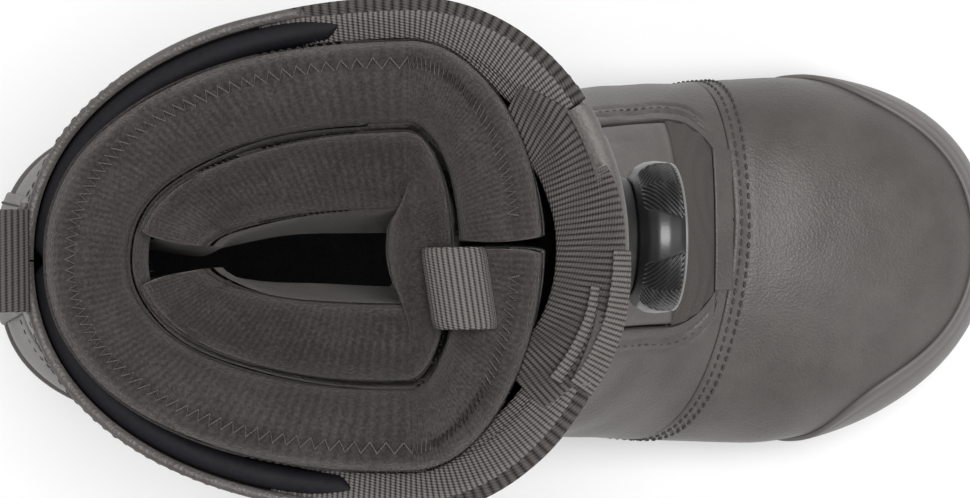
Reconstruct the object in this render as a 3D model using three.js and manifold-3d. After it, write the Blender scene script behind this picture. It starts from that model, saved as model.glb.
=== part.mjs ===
// A right snowboard boot with a turning-dial closure: a rubber and foam sole, a leather shell with a hinged
// tongue, the dial and its lace guides, and a padded liner inside. Millimetres: +X to the toe, +Y to the inner
// (medial) side, +Z up. The origin is under the middle of the boot, on the ground.
import * as THREE from "three";
import { mergeVertices } from "three/addons/utils/BufferGeometryUtils.js";
import Module from "manifold-3d";

const wasm = await Module();
wasm.setup();

// ---------------------------------------------------------------- driving dimensions
const BOOT_LENGTH = 298; // heel to toe, over the leather
const BOOT_WIDTH = 114; // over the ball of the foot
const SHAFT_RISE = 262; // from the top of the sole to the rear of the collar's reference height
const OUTSOLE_THICKNESS = 8.5; // rubber, with its lugs
const LUG_HEIGHT = 4;
const MIDSOLE_THICKNESS = 15;
const TOE_SPRING = 9; // how far the sole lifts at the toe
const SOLE_MARGIN = 2.2; // how far the sole stands out past the shell
const SHELL_THICKNESS = 2.4; // leather and its backing
const OVERLAY_THICKNESS = 1.5; // reinforcements sewn or moulded onto the shell
const BUMPER_THICKNESS = 2.6; // rubber toe guard and heel cup
const SEAM_GAP = 0.4; // between two pieces sewn edge to edge
const FIT_GAP = 0.35; // between two layers
const COVER_GAP = 0.8; // between the shell and a facetted piece that wraps round it
const TONGUE_HALF = 31; // half the tongue's width
const TONGUE_GAP = 1.2; // between the tongue and the throat of the shell
const COLLAR_PAD = 4.6; // foam band inside the top of the shell
const COLLAR_DEPTH = 46; // how far that band reaches down
const BOARD_THICKNESS = 2.4; // lasting board
const BOARD_MARGIN = 3.6; // from the lasting board to the shell around it
const FOOTBED_THICKNESS = 4;
const LINER_SLIP = 1.8; // room between shell and liner around the foot
const TOE_ROOM = 2; // added to that at the tip
const LINER_FOOT_WALL = 6;
const LINER_CUFF_WALL = 17;
const LINER_COLLAR_ROOM = 9.5; // from the shell's face to the liner, around the leg
const LINER_FRONT_ROOM = 18; // the same, at the shin
const DIAL_RADIUS = 19;
const DIAL_DEPTH = 11.5; // of the knob, along its axis
const DIAL_TILT = 8; // degrees that the dial looks below the level
const DIAL_HEIGHT = 195; // of the dial's centre above the ground
const HOUSING_RADIUS = 14;
const SPOOL_RADIUS = 10.5;
const STRAP_THICKNESS = 1.5; // woven webbing
const HEEL_STRAP_WIDTH = 24;
const HEEL_STRAP_REACH = 17; // how far it stands off the collar
const LINER_STRAP_WIDTH = 17;
const LINER_STRAP_REACH = 5; // how far it reaches over the liner's cuff

const SOLE_TOP = OUTSOLE_THICKNESS + MIDSOLE_THICKNESS;
const MEDIAL = 1;
const LATERAL = -1;

// ---------------------------------------------------------------- the last: the boot's outer form
// The last is drawn at a reference size. Planes cut it from the toe to the collar: upright planes as far
// as the instep, then planes that fan round FAN from upright to level, then level planes up the shaft.
// A station's first number is its place on that way: millimetres ahead of the fan are negative, the
// fan's own are degrees, and 1 mm of shaft counts as 1 past 90.
const REFERENCE = { length: 298, width: 114, rise: 262, soleTop: 23.5 };
const FAN = { x: 70, z: 150 };
const TOE_PART = 79; // length of the toe ahead of the fan
const TOE_ROUND = 2.2; // how bluntly the toe closes, seen from above
const TOE_DOME = 2.6; // and seen from the side
const STATION_KEYS = ["at", "crest", "middle", "far", "half", "shift", "skew", "frontRound", "rearRound"];
const STATIONS = [
  [-79, 76, 114, 153, 57, 6, 0, 2.4, 2.6],
  [-60, 74, 113.5, 153, 57, 4.5, 2, 2.4, 2.6],
  [-40, 72, 112.5, 153, 57, 2.6, 6, 2.35, 2.6],
  [-20, 69.5, 111, 153, 57, 1, 10, 2.3, 2.6],
  [0, 67, 110, 153, 56.5, 0, 12, 2.3, 2.6],
  [15, 60, 110, 161, 55, 0, 12, 2.2, 2.6],
  [30, 54.5, 110, 180, 53, 0, 11.5, 2.2, 2.7],
  [45, 51.5, 110, 212, 51, 0, 10.5, 2.15, 2.9],
  [59, 49.5, 110, 246, 49.5, 0, 9.8, 2.1, 3],
  [65, 49.2, 110, 240, 48.8, 0, 9.4, 2.1, 3],
  [72, 49, 110, 229, 48, 0, 8.9, 2.1, 3],
  [80, 49.2, 110, 217, 47.6, 0, 8.3, 2.1, 2.8],
  [90, 49.5, 110, 202, 47.5, 0, 7.5, 2.1, 2.5],
  [110, 50.5, 108, 198, 48, 0, 6.2, 2.1, 2.3],
  [135, 48, 104, 192.5, 49.5, 0, 5, 2.05, 2.2],
  [160, 46, 100, 187, 51, 0, 4, 2, 2.2],
  [190, 45.3, 96, 181, 53, 0, 3, 1.95, 2.2],
  [225, 46.6, 93, 174.5, 55, 0, 2, 1.95, 2.2],
  [255, 48.5, 92, 169, 56, 0, 1, 1.95, 2.2],
];

function station(s) {
  const last = STATIONS.length - 1;
  let i = 0;
  while (i < last - 1 && s > STATIONS[i + 1][0]) i++;
  const [a, b] = [STATIONS[i], STATIONS[i + 1]];
  const [before, after] = [STATIONS[Math.max(i - 1, 0)], STATIONS[Math.min(i + 2, last)]];
  const span = b[0] - a[0];
  const t = Math.min(Math.max((s - a[0]) / span, 0), 1);
  const out = { at: s };
  for (let k = 1; k < STATION_KEYS.length; k++) {
    const slopeA = (b[k] - before[k]) / (b[0] - before[0]);
    const slopeB = (after[k] - a[k]) / (after[0] - a[0]);
    out[STATION_KEYS[k]] =
      (2 * t ** 3 - 3 * t ** 2 + 1) * a[k] +
      (t ** 3 - 2 * t ** 2 + t) * span * slopeA +
      (3 * t ** 2 - 2 * t ** 3) * b[k] +
      (t ** 3 - t ** 2) * span * slopeB;
  }
  const ahead = Math.min(Math.max(-s / TOE_PART, 0), 1);
  out.closeWidth = (1 - ahead ** TOE_ROUND) ** (1 / TOE_ROUND);
  out.closeHeight = (1 - ahead ** TOE_DOME) ** (1 / TOE_DOME);
  return out;
}

const toLast = (p) =>
  new THREE.Vector3(
    (p.x * REFERENCE.length) / BOOT_LENGTH,
    (p.y * REFERENCE.width) / BOOT_WIDTH,
    REFERENCE.soleTop + ((p.z - SOLE_TOP) * REFERENCE.rise) / SHAFT_RISE,
  );
const fromLast = (x, y, z) =>
  new THREE.Vector3(
    (x * BOOT_LENGTH) / REFERENCE.length,
    (y * BOOT_WIDTH) / REFERENCE.width,
    SOLE_TOP + ((z - REFERENCE.soleTop) * SHAFT_RISE) / REFERENCE.rise,
  );

// Below 0 inside the last, 0 on it and above 0 outside.
function lastValue(p) {
  const q = toLast(p);
  let s;
  let reach;
  if (q.z > FAN.z) [s, reach] = [90 + q.z - FAN.z, FAN.x - q.x];
  else if (q.x > FAN.x) [s, reach] = [FAN.x - q.x, FAN.z - q.z];
  else {
    s = THREE.MathUtils.radToDeg(Math.atan2(FAN.x - q.x, FAN.z - q.z));
    reach = Math.hypot(FAN.x - q.x, FAN.z - q.z);
  }
  if (s <= -TOE_PART) return 1 - s - TOE_PART;
  const st = station(s);
  const ahead = reach < st.middle;
  const depth = (ahead ? st.middle - st.crest : st.far - st.middle) * st.closeHeight;
  const along = Math.abs(reach - st.middle) / depth;
  const side = q.y - st.shift - (ahead ? st.skew * Math.min(along, 1) ** 2 : 0);
  const round = ahead ? st.frontRound : st.rearRound;
  return along ** round + Math.abs(side / (st.half * st.closeWidth)) ** round - 1;
}

function normalAt(p) {
  const h = 0.05;
  const n = new THREE.Vector3();
  for (const axis of ["x", "y", "z"]) {
    const [ahead, behind] = [p.clone(), p.clone()];
    ahead[axis] += h;
    behind[axis] -= h;
    n[axis] = lastValue(ahead) - lastValue(behind);
  }
  return n.normalize();
}

// The point where a ray from inside the last leaves it.
function rayHit(from, direction, farthest = 400) {
  let [near, far] = [0, farthest];
  for (let i = 0; i < 40; i++) {
    const middle = (near + far) / 2;
    if (lastValue(from.clone().addScaledVector(direction, middle)) < 0) near = middle;
    else far = middle;
  }
  return from.clone().addScaledVector(direction, near);
}

// One side of a section as points from the crest down to the sole or round to the back, with lengths.
const SECTION_STEPS = 72;
const sections = new Map();
function section(s, side) {
  const key = s.toFixed(3) + side;
  if (sections.has(key)) return sections.get(key);
  const st = station(s);
  const points = [];
  for (let i = 0; i <= SECTION_STEPS; i++) {
    const turn = (Math.PI * i) / SECTION_STEPS;
    const ahead = turn <= Math.PI / 2;
    const power = 2 / (ahead ? st.frontRound : st.rearRound);
    const along = Math.abs(Math.cos(turn)) ** power;
    const depth = (ahead ? st.crest - st.middle : st.far - st.middle) * st.closeHeight;
    const reach = st.middle + depth * along;
    const y =
      st.shift + (ahead ? st.skew * along ** 2 : 0) + side * st.half * st.closeWidth * Math.sin(turn) ** power;
    const angle = THREE.MathUtils.degToRad(Math.min(Math.max(s, 0), 90));
    const x = FAN.x - Math.min(s, 0) - reach * Math.sin(angle);
    const z = FAN.z + Math.max(s - 90, 0) - reach * Math.cos(angle);
    const p = fromLast(x, y, z);
    if (p.z < SOLE_TOP) {
      const above = points[points.length - 1];
      if (above && above.z > SOLE_TOP + 1e-6)
        points.push(above.clone().lerp(p, (above.z - SOLE_TOP) / (above.z - p.z)));
      break;
    }
    points.push(p);
  }
  const lengths = [0];
  for (let i = 1; i < points.length; i++) lengths.push(lengths[i - 1] + points[i].distanceTo(points[i - 1]));
  const made = { points, lengths, total: lengths[lengths.length - 1] };
  sections.set(key, made);
  return made;
}

// The point u mm round from the crest of section s: u above 0 is medial, below 0 lateral.
function atSection(s, u) {
  const { points, lengths, total } = section(s, u < 0 ? LATERAL : MEDIAL);
  const d = Math.min(Math.abs(u), total);
  let i = 1;
  while (i < points.length - 1 && lengths[i] < d) i++;
  return points[i - 1].clone().lerp(points[i], (d - lengths[i - 1]) / (lengths[i] - lengths[i - 1] || 1));
}
const girth = (s, side) => section(s, side).total;
const offsetPoint = (p, d) => p.clone().addScaledVector(normalAt(p), d);
const atHeight = (z) => 90 + toLast(new THREE.Vector3(0, 0, z)).z - FAN.z;
const mix = THREE.MathUtils.lerp;
const ease = (t) => THREE.MathUtils.smoothstep(t, 0, 1);
const ramp = (s, from, to) => ease((s - from) / (to - from));

// ---------------------------------------------------------------- closed solids
function solidFromMesh(points, faces) {
  const merged = mergeVertices(
    new THREE.BufferGeometry()
      .setAttribute("position", new THREE.Float32BufferAttribute(points.flatMap((p) => p.toArray()), 3))
      .setIndex(faces),
    1e-4,
  );
  const triVerts = [];
  const index = merged.index.array;
  for (let i = 0; i < index.length; i += 3) {
    const [a, b, c] = [index[i], index[i + 1], index[i + 2]];
    if (a !== b && b !== c && a !== c) triVerts.push(a, b, c);
  }
  const build = (tris) =>
    new wasm.Manifold(
      new wasm.Mesh({
        numProp: 3,
        vertProperties: merged.attributes.position.array,
        triVerts: new Uint32Array(tris),
      }),
    );
  const made = build(triVerts);
  if (made.volume() > 0) return made;
  for (let i = 0; i < triVerts.length; i += 3)
    [triVerts[i + 1], triVerts[i + 2]] = [triVerts[i + 2], triVerts[i + 1]];
  return build(triVerts);
}

function solidFromGeometry(geometry, matrix = new THREE.Matrix4()) {
  const g = (geometry.index ? geometry.toNonIndexed() : geometry.clone()).applyMatrix4(matrix);
  const at = g.attributes.position;
  const points = Array.from({ length: at.count }, (_, i) => new THREE.Vector3().fromBufferAttribute(at, i));
  return solidFromMesh(points, points.map((_, i) => i));
}

// Two grids of points, one over the other, closed round their edges.
function solidFromGrids(outer, inner) {
  const [rows, columns] = [outer.length, outer[0].length];
  const points = [...outer.flat(), ...inner.flat()];
  const under = rows * columns;
  const faces = [];
  const quad = (a, b, c, d) => faces.push(a, b, c, a, c, d);
  for (let i = 0; i < rows - 1; i++)
    for (let j = 0; j < columns - 1; j++) {
      const [a, b, c, d] = [i, i, i + 1, i + 1].map((r, k) => r * columns + j + (k === 1 || k === 2));
      quad(a, b, c, d);
      quad(under + d, under + c, under + b, under + a);
    }
  for (let j = 0; j < columns - 1; j++) {
    const end = (rows - 1) * columns;
    quad(j + 1, j, under + j, under + j + 1);
    quad(end + j, end + j + 1, under + end + j + 1, under + end + j);
  }
  for (let i = 0; i < rows - 1; i++) {
    const [a, b] = [i * columns, (i + 1) * columns];
    quad(a, b, under + b, under + a);
    quad(b + columns - 1, a + columns - 1, under + a + columns - 1, under + b + columns - 1);
  }
  return solidFromMesh(points, faces);
}

// A panel of the shell: place(p, q) is a point of the last for p and q from 0 to 1, and the panel lies
// between two distances from it.
function panel(rows, columns, place, from, to) {
  const grid = (d) =>
    Array.from({ length: rows + 1 }, (_, i) =>
      Array.from({ length: columns + 1 }, (_, j) => offsetPoint(place(i / rows, j / columns), d)),
    );
  return solidFromGrids(grid(to), grid(from));
}

// Closed rings of points, joined one to the next, with flat ends.
function loft(rings) {
  const n = rings[0].length;
  const points = rings.flat();
  const faces = [];
  for (let i = 0; i < rings.length - 1; i++)
    for (let j = 0; j < n; j++) {
      const [a, b] = [i * n + j, i * n + ((j + 1) % n)];
      faces.push(a, b, b + n, a, b + n, a + n);
    }
  const centre = (ring) => ring.reduce((sum, p) => sum.add(p), new THREE.Vector3()).divideScalar(n);
  points.push(centre(rings[0]), centre(rings[rings.length - 1]));
  const [start, end] = [points.length - 2, points.length - 1];
  for (let j = 0; j < n; j++) {
    const k = (j + 1) % n;
    faces.push(start, k, j, end, points.length - 2 - n + j, points.length - 2 - n + k);
  }
  return solidFromMesh(points, faces);
}

const box = (x, y, z, matrix) => solidFromGeometry(new THREE.BoxGeometry(x, y, z), matrix);
const turnedProfile = (profile, segments = 32) =>
  solidFromGeometry(new THREE.LatheGeometry(profile.map(([r, h]) => new THREE.Vector2(r, h)), segments));

const boot = new THREE.Group();
const COLOURS = {
  leather: [0x2b2928, 0.62, 0],
  rubber: [0x1b1b1c, 0.85, 0],
  foam: [0x202021, 0.9, 0],
  fabric: [0x1d1c1d, 0.95, 0],
  lining: [0x35312f, 0.98, 0],
  webbing: [0x33302e, 0.9, 0],
  plastic: [0x1a1a1b, 0.4, 0],
  metal: [0x8d8d90, 0.3, 1],
  board: [0x6b5f50, 0.95, 0],
};
function add(name, solid, colour, parent = boot) {
  const mesh = solid.getMesh();
  const at = new Float32Array(mesh.numVert * 3);
  for (let i = 0; i < mesh.numVert; i++)
    at.set(mesh.vertProperties.subarray(i * mesh.numProp, i * mesh.numProp + 3), i * 3);
  const geometry = new THREE.BufferGeometry()
    .setAttribute("position", new THREE.BufferAttribute(at, 3))
    .setIndex(new THREE.BufferAttribute(new Uint32Array(mesh.triVerts), 1));
  const [color, roughness, metalness] = COLOURS[colour];
  const made = new THREE.Mesh(geometry, new THREE.MeshStandardMaterial({ color, roughness, metalness }));
  made.name = name;
  parent.add(made);
}

// ---------------------------------------------------------------- sole
const OUTLINE_STATIONS = [-76.4, -74, -69, -62, -52, -38, -20, 0, 14, 26, 36, 44, 50, 54, 57, 58.5];

// The outline of the shell where it meets the sole, grown by a margin, as points in order.
function soleOutline(margin) {
  const medial = OUTLINE_STATIONS.map((s) => atSection(s, girth(s, MEDIAL)));
  const lateral = OUTLINE_STATIONS.map((s) => atSection(s, -girth(s, LATERAL))).reverse();
  const tip = rayHit(new THREE.Vector3(BOOT_LENGTH * 0.4, 6, SOLE_TOP + 0.1), new THREE.Vector3(1, 0, 0));
  const back = rayHit(new THREE.Vector3(BOOT_LENGTH * -0.4, 0, SOLE_TOP + 0.1), new THREE.Vector3(-1, 0, 0));
  const loop = [tip, ...medial, back, ...lateral].map((p) => new THREE.Vector2(p.x, p.y));
  return loop.map((p, i) => {
    const along = loop[(i + 1) % loop.length].clone().sub(loop[(i + loop.length - 1) % loop.length]).normalize();
    return new THREE.Vector2(p.x + along.y * margin, p.y - along.x * margin);
  });
}
const springAt = (x) => {
  const start = BOOT_LENGTH * 0.3;
  return x < start ? 0 : TOE_SPRING * ((x - start) / (BOOT_LENGTH / 2 - start)) ** 2;
};

// A plate of that outline between two heights, which bends up with the toe spring as far as it is told to.
function solePlate(margin, low, high, lowFollows, highFollows) {
  const ring = (z, follows) =>
    soleOutline(margin).map((p) => new THREE.Vector3(p.x, p.y, z + follows * springAt(p.x)));
  const [lower, upper] = [ring(low, lowFollows), ring(high, highFollows)];
  const n = lower.length;
  const index = [];
  // rungs from each medial point to the lateral one of the same station
  for (let i = 0; i < n / 2; i++) {
    const rungs = [[i, i + 1, n - i - 1]];
    if (i > 0 && i < n / 2 - 1) rungs.push([i, n - i - 1, n - i]);
    if (i === n / 2 - 1) rungs[0] = [i, i + 1, n - i];
    for (const [a, b, c] of rungs) index.push(a, c, b, n + a, n + b, n + c);
  }
  for (let i = 0; i < n; i++) {
    const k = (i + 1) % n;
    index.push(i, k, n + k, i, n + k, n + i);
  }
  return solidFromMesh([...lower, ...upper], index);
}

function halfWidthAt(outline, x, side) {
  let widest = 0;
  outline.forEach((p, i) => {
    const q = outline[(i + 1) % outline.length];
    if ((p.x - x) * (q.x - x) <= 0 && p.x !== q.x) {
      const y = mix(p.y, q.y, (x - p.x) / (q.x - p.x));
      if (y * side > widest) widest = y * side;
    }
  });
  return widest;
}

const LUG_PITCH = 19; // along the boot
const LUG_LENGTH = 12;
const LUG_EDGE = 3; // from the lugs to the edge of the sole
const LUG_SPLIT = 5; // half the groove down the middle
const LUG_SLANT = 5; // how far a lug's outer end lies ahead of its inner end

function makeOutsole() {
  let sole = solePlate(SOLE_MARGIN, LUG_HEIGHT, OUTSOLE_THICKNESS, 1, 1);
  const outline = soleOutline(SOLE_MARGIN);
  const count = Math.floor((BOOT_LENGTH - 34) / LUG_PITCH);
  for (let i = 0; i < count; i++) {
    const x = -BOOT_LENGTH / 2 + 20 + i * LUG_PITCH;
    for (const side of [MEDIAL, LATERAL]) {
      const outer = Math.min(
        halfWidthAt(outline, x + LUG_SLANT, side),
        halfWidthAt(outline, x + LUG_SLANT + LUG_LENGTH, side),
      );
      const corners = [
        [x, LUG_SPLIT],
        [x + LUG_LENGTH, LUG_SPLIT],
        [x + LUG_LENGTH + LUG_SLANT, outer - LUG_EDGE],
        [x + LUG_SLANT, outer - LUG_EDGE],
      ];
      const ring = (z) => corners.map(([cx, cy]) => new THREE.Vector3(cx, cy * side, z + springAt(cx)));
      sole = sole.add(loft([ring(0), ring((LUG_HEIGHT + OUTSOLE_THICKNESS) / 2)]));
    }
  }
  return sole;
}

const SHANK = { length: 96, width: 34, thickness: 2, x: -28 };
const HEEL_PUCK = { x: -104, radius: 24, thickness: 7 };

function makeSole() {
  add("outsole", makeOutsole(), "rubber");
  const shankAt = new THREE.Matrix4().makeTranslation(
    SHANK.x,
    0,
    OUTSOLE_THICKNESS + FIT_GAP + SHANK.thickness / 2 + FIT_GAP,
  );
  const puckAt = SOLE_TOP - FIT_GAP - HEEL_PUCK.thickness;
  const puck = (grow) =>
    solidFromGeometry(
      new THREE.CylinderGeometry(HEEL_PUCK.radius + grow, HEEL_PUCK.radius + grow, HEEL_PUCK.thickness + 2 * grow, 28),
      new THREE.Matrix4()
        .makeTranslation(HEEL_PUCK.x, 0, puckAt + HEEL_PUCK.thickness / 2)
        .multiply(new THREE.Matrix4().makeRotationX(Math.PI / 2)),
    );
  const pocket = box(SHANK.length + 2 * FIT_GAP, SHANK.width + 2 * FIT_GAP, SHANK.thickness + 3 * FIT_GAP, shankAt);
  const midsole = solePlate(SOLE_MARGIN, OUTSOLE_THICKNESS + FIT_GAP, SOLE_TOP - FIT_GAP, 1, 0)
    .subtract(pocket)
    .subtract(puck(FIT_GAP));
  add("midsole", midsole, "foam");
  add("shank", box(SHANK.length, SHANK.width, SHANK.thickness, shankAt), "plastic");
  add("heel_cushion", puck(0), "foam");
  const boardLow = SOLE_TOP + FIT_GAP;
  add("lasting_board", solePlate(-SHELL_THICKNESS - BOARD_MARGIN, boardLow, boardLow + BOARD_THICKNESS, 0, 0), "board");
}

// ---------------------------------------------------------------- shell
const THROAT_START = 8; // station of the throat's front edge
const TONGUE_FOLD = 20; // station of the fold between the gore and the tongue
const VAMP_SEAM = 3; // station of the vamp's rear seam at the crest
const VAMP_SWEEP = { medial: 11, lateral: 24 }; // how much further back that seam lies at the sole
const CUFF_SEAM = 90; // station of the seam between quarters and cuff
const COLLAR_REAR = 274; // height of the collar at the back, in the last's own millimetres
const COLLAR_SIDE = 281;
const COLLAR_FRONT = 287;
const TONGUE_TOP = 290;
const SIDES = { medial: MEDIAL, lateral: LATERAL };

const heightStation = (z) => 90 + z - FAN.z;
// f is the share of the way from the crest to the sole, below 0 on the lateral side
const vampSeam = (f) => VAMP_SEAM + (f < 0 ? VAMP_SWEEP.lateral : VAMP_SWEEP.medial) * Math.abs(f) ** 1.6;
const outerGirth = (s, side) => girth(s, side) - SEAM_GAP / 2;

// Half the width of the opening down the front, which closes in a round end.
function throatHalf(s) {
  const end = THROAT_START + 14;
  const t = Math.min(Math.max((end - s) / (end - THROAT_START), 0), 1);
  return TONGUE_HALF * Math.sqrt(1 - 0.6 * t ** 2);
}
const throatEdge = (s) => (s < THROAT_START ? SEAM_GAP / 2 : throatHalf(s) + TONGUE_GAP);

// Station of the collar's edge, for f from 0 at the throat to 1 at the back.
function collarStation(f) {
  const height = f < 0.5 ? mix(COLLAR_FRONT, COLLAR_SIDE, ease(f * 2)) : mix(COLLAR_SIDE, COLLAR_REAR, ease(f * 2 - 1));
  return heightStation(height);
}

function vampPlace(p, q) {
  const f = 2 * q - 1;
  const s = mix(-TOE_PART, vampSeam(f) - SEAM_GAP, 1 - Math.cos((p * Math.PI) / 2));
  return atSection(s, f * outerGirth(s, f < 0 ? LATERAL : MEDIAL));
}

function quarterPlace(side) {
  return (p, q) => {
    const s = mix(vampSeam(side * q), CUFF_SEAM - SEAM_GAP, p ** 1.5);
    const outer = outerGirth(s, side);
    const u = mix(q * outer, mix(throatEdge(s), outer, q), ease(Math.min(p * 2.5, 1)));
    return atSection(s, side * Math.max(u, throatEdge(s)));
  };
}

// Part of the collar from f = a to b, down from its edge by a depth; or the whole cuff.
function collarPlace(side, a, b, depth, top = 0) {
  return (p, q) => {
    const f = mix(a, b, q);
    const low = depth ? collarStation(f) - depth : CUFF_SEAM + SEAM_GAP;
    const s = mix(low, collarStation(f) - top, p);
    return atSection(s, side * mix(TONGUE_HALF + TONGUE_GAP, outerGirth(s, side), f));
  };
}

// A point of the last straight out from the boot's middle plane, for a place in side view.
const fromSide = (x, z, side) => rayHit(fromLast(x, 2, z), new THREE.Vector3(0, side, 0), 120);

// A point of the last outwards from an upright line, for a bearing in degrees and a height.
function fromPost(x, bearing, z) {
  const a = THREE.MathUtils.degToRad(bearing);
  return rayHit(fromLast(x, 3, z), new THREE.Vector3(Math.cos(a), Math.sin(a), 0), 160);
}

// The shell's pieces between two distances from the last: the real ones, or grown to cut what fits to them.
function shellPieces(from, to) {
  const pieces = { vamp: panel(11, 18, vampPlace, from, to) };
  for (const [name, side] of Object.entries(SIDES)) {
    pieces["quarter_" + name] = panel(13, 10, quarterPlace(side), from, to);
    pieces["cuff_" + name] = panel(7, 14, collarPlace(side, 0, 1, 0), from, to);
  }
  return pieces;
}
const grown = shellPieces(-SHELL_THICKNESS - FIT_GAP, FIT_GAP);
const clearOfShell = (solid) => Object.values(grown).reduce((left, piece) => left.subtract(piece), solid);

const GUARD_FOOT = 2; // from the sole to the lower edge of the toe guard and the heel cup
const TOE_POST = 82; // the toe guard is measured from here
const TOE_GUARD_SPAN = 88; // degrees to each side
const TOE_GUARD_HEIGHT = 30; // at the tip, above its ends
const TOE_GUARD_END = 4.5; // height of its ends above the sole
const TOE_GUARD_SHOULDER = 0.2; // share by which it rises to each side of the tip
const HEEL_POST = -88;
const HEEL_CUP_SPAN = 100;
const HEEL_CUP_HEIGHT = 62;
const BACKSTAY_FOOT = 97; // height of its lower end, in the last's own millimetres
const BINDING_DEPTH = 13;
const BINDING_END = 0.41; // share of the collar's way from the throat to the back

function makeShell() {
  for (const [name, solid] of Object.entries(shellPieces(-SHELL_THICKNESS, 0))) add(name, solid, "leather");
  const inside = -SHELL_THICKNESS - FIT_GAP;
  for (const [name, side] of Object.entries(SIDES)) {
    // foam band round the collar, and the webbing that binds the front of the flap
    const pad = panel(3, 8, collarPlace(side, BINDING_END + 0.01, 1, COLLAR_DEPTH, 1), inside - COLLAR_PAD, inside);
    add("collar_pad_" + name, clearOfShell(pad), "fabric");
    const binding = collarPlace(side, 0.02, BINDING_END, BINDING_DEPTH, 1);
    add("collar_binding_" + name, clearOfShell(panel(2, 7, binding, inside - COLLAR_PAD, inside)), "webbing");
    // moulded strap that runs from the heel cup up to the instep
    const strap = panel(
      6,
      4,
      (p, q) => {
        const low = [mix(-96, -8, p), mix(92, 158, ease(p))];
        const high = [mix(-112, -14, p), mix(126, 188, ease(p))];
        return fromSide(mix(low[0], high[0], q), mix(low[1], high[1], q), side);
      },
      COVER_GAP,
      COVER_GAP + OVERLAY_THICKNESS,
    );
    add("ankle_overlay_" + name, clearOfShell(strap), "leather");
  }
  const guard = panel(
    4,
    20,
    (p, q) => {
      const bearing = mix(-TOE_GUARD_SPAN, TOE_GUARD_SPAN, q);
      const shoulder = 1 + TOE_GUARD_SHOULDER * Math.sin(THREE.MathUtils.degToRad(bearing)) ** 2;
      const height = TOE_GUARD_END + TOE_GUARD_HEIGHT * shoulder * (1 - Math.abs(2 * q - 1) ** 6);
      return fromPost(TOE_POST, bearing, REFERENCE.soleTop + mix(GUARD_FOOT, height, p));
    },
    COVER_GAP,
    COVER_GAP + BUMPER_THICKNESS,
  );
  add("toe_guard", clearOfShell(guard), "rubber");
  const cup = panel(
    5,
    20,
    (p, q) => {
      const bearing = 180 + mix(-HEEL_CUP_SPAN, HEEL_CUP_SPAN, q);
      const height = HEEL_CUP_HEIGHT * (1 - 0.5 * Math.abs(2 * q - 1) ** 2.2);
      return fromPost(HEEL_POST, bearing, REFERENCE.soleTop + mix(GUARD_FOOT, height, p));
    },
    COVER_GAP,
    COVER_GAP + BUMPER_THICKNESS,
  );
  add("heel_cup", clearOfShell(cup), "plastic");
  const backstay = panel(
    9,
    6,
    (p, q) => {
      const z = mix(BACKSTAY_FOOT, COLLAR_REAR - 3, p);
      return fromPost(HEEL_POST + 20, 180 + mix(-14, 14, q), z);
    },
    COVER_GAP,
    COVER_GAP + OVERLAY_THICKNESS,
  );
  add("backstay", clearOfShell(backstay), "leather");
}

// ---------------------------------------------------------------- tongue of the shell
const TONGUE_THICKNESS = 5; // padded
const GORE_THICKNESS = 2;
const BAND_DEPTH = 30; // the webbing-covered roll inside the top of the tongue
const BAND_THICKNESS = 9;
const TONGUE_STATIONS = 12;

const tonguePlace = (from, to) => (p, q) => {
  const s = mix(from, to, p);
  return atSection(s, (2 * q - 1) * throatHalf(s));
};
const tongueTo = (from, to) =>
  panel(TONGUE_STATIONS, 8, tonguePlace(TONGUE_FOLD, heightStation(TONGUE_TOP)), from, to);
const dialSeat = atSection(atHeight(DIAL_HEIGHT), 0);
const dialFrame = new THREE.Matrix4().compose(
  dialSeat,
  new THREE.Quaternion().setFromUnitVectors(
    new THREE.Vector3(0, 1, 0),
    new THREE.Vector3(1, 0, 0).applyAxisAngle(new THREE.Vector3(0, 1, 0), THREE.MathUtils.degToRad(DIAL_TILT)),
  ),
  new THREE.Vector3(1, 1, 1),
);
const SCREW_RADIUS = 2.05;
const SCREW_CLEARANCE = 0.35;
const boltHole = SCREW_RADIUS + SCREW_CLEARANCE;

function makeTongue() {
  const gore = panel(
    3,
    8,
    tonguePlace(THROAT_START + 1.2, TONGUE_FOLD - 1),
    -SHELL_THICKNESS - GORE_THICKNESS + 1.4,
    -1,
  );
  add("tongue_gore", clearOfShell(gore), "fabric");
  const hole = turnedProfile([[0, -20], [boltHole, -20], [boltHole, 20], [0, 20]], 16).transform(
    dialFrame.elements,
  );
  add("shell_tongue", tongueTo(-TONGUE_THICKNESS, 0).subtract(hole), "leather");
  const top = heightStation(TONGUE_TOP);
  const place = tonguePlace(top - BAND_DEPTH, top);
  const layer = (extra) =>
    Array.from({ length: 4 }, (_, i) =>
      Array.from({ length: 9 }, (_, j) =>
        offsetPoint(place(i / 3, j / 8), -TONGUE_THICKNESS - FIT_GAP - extra * mix(0.2, 1, i / 3)),
      ),
    );
  const band = solidFromGrids(layer(0), layer(BAND_THICKNESS)).subtract(tongueTo(-TONGUE_THICKNESS - FIT_GAP, 0));
  add("tongue_band", band, "webbing");
}

// Guides for the closure's lace, riveted inside the shell along both edges of the opening.
const GUIDE_STATIONS = [48, 74, 100];
const GUIDE = { width: 11, length: 10, thickness: 2, inset: 2 };

function makeLaceGuides() {
  for (const [name, side] of Object.entries(SIDES))
    GUIDE_STATIONS.forEach((at, i) => {
      const half = at < 90 ? THREE.MathUtils.radToDeg(GUIDE.length / 2 / station(at).crest) : GUIDE.length / 2;
      const guide = panel(
        2,
        3,
        (p, q) => {
          const s = at + half * (2 * p - 1);
          return atSection(s, side * (throatEdge(s) + GUIDE.inset + GUIDE.width * q));
        },
        -SHELL_THICKNESS - FIT_GAP - GUIDE.thickness,
        -SHELL_THICKNESS - FIT_GAP,
      );
      add(`lace_guide_${name}_${i + 1}`, clearOfShell(guide), "plastic");
    });
}

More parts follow.
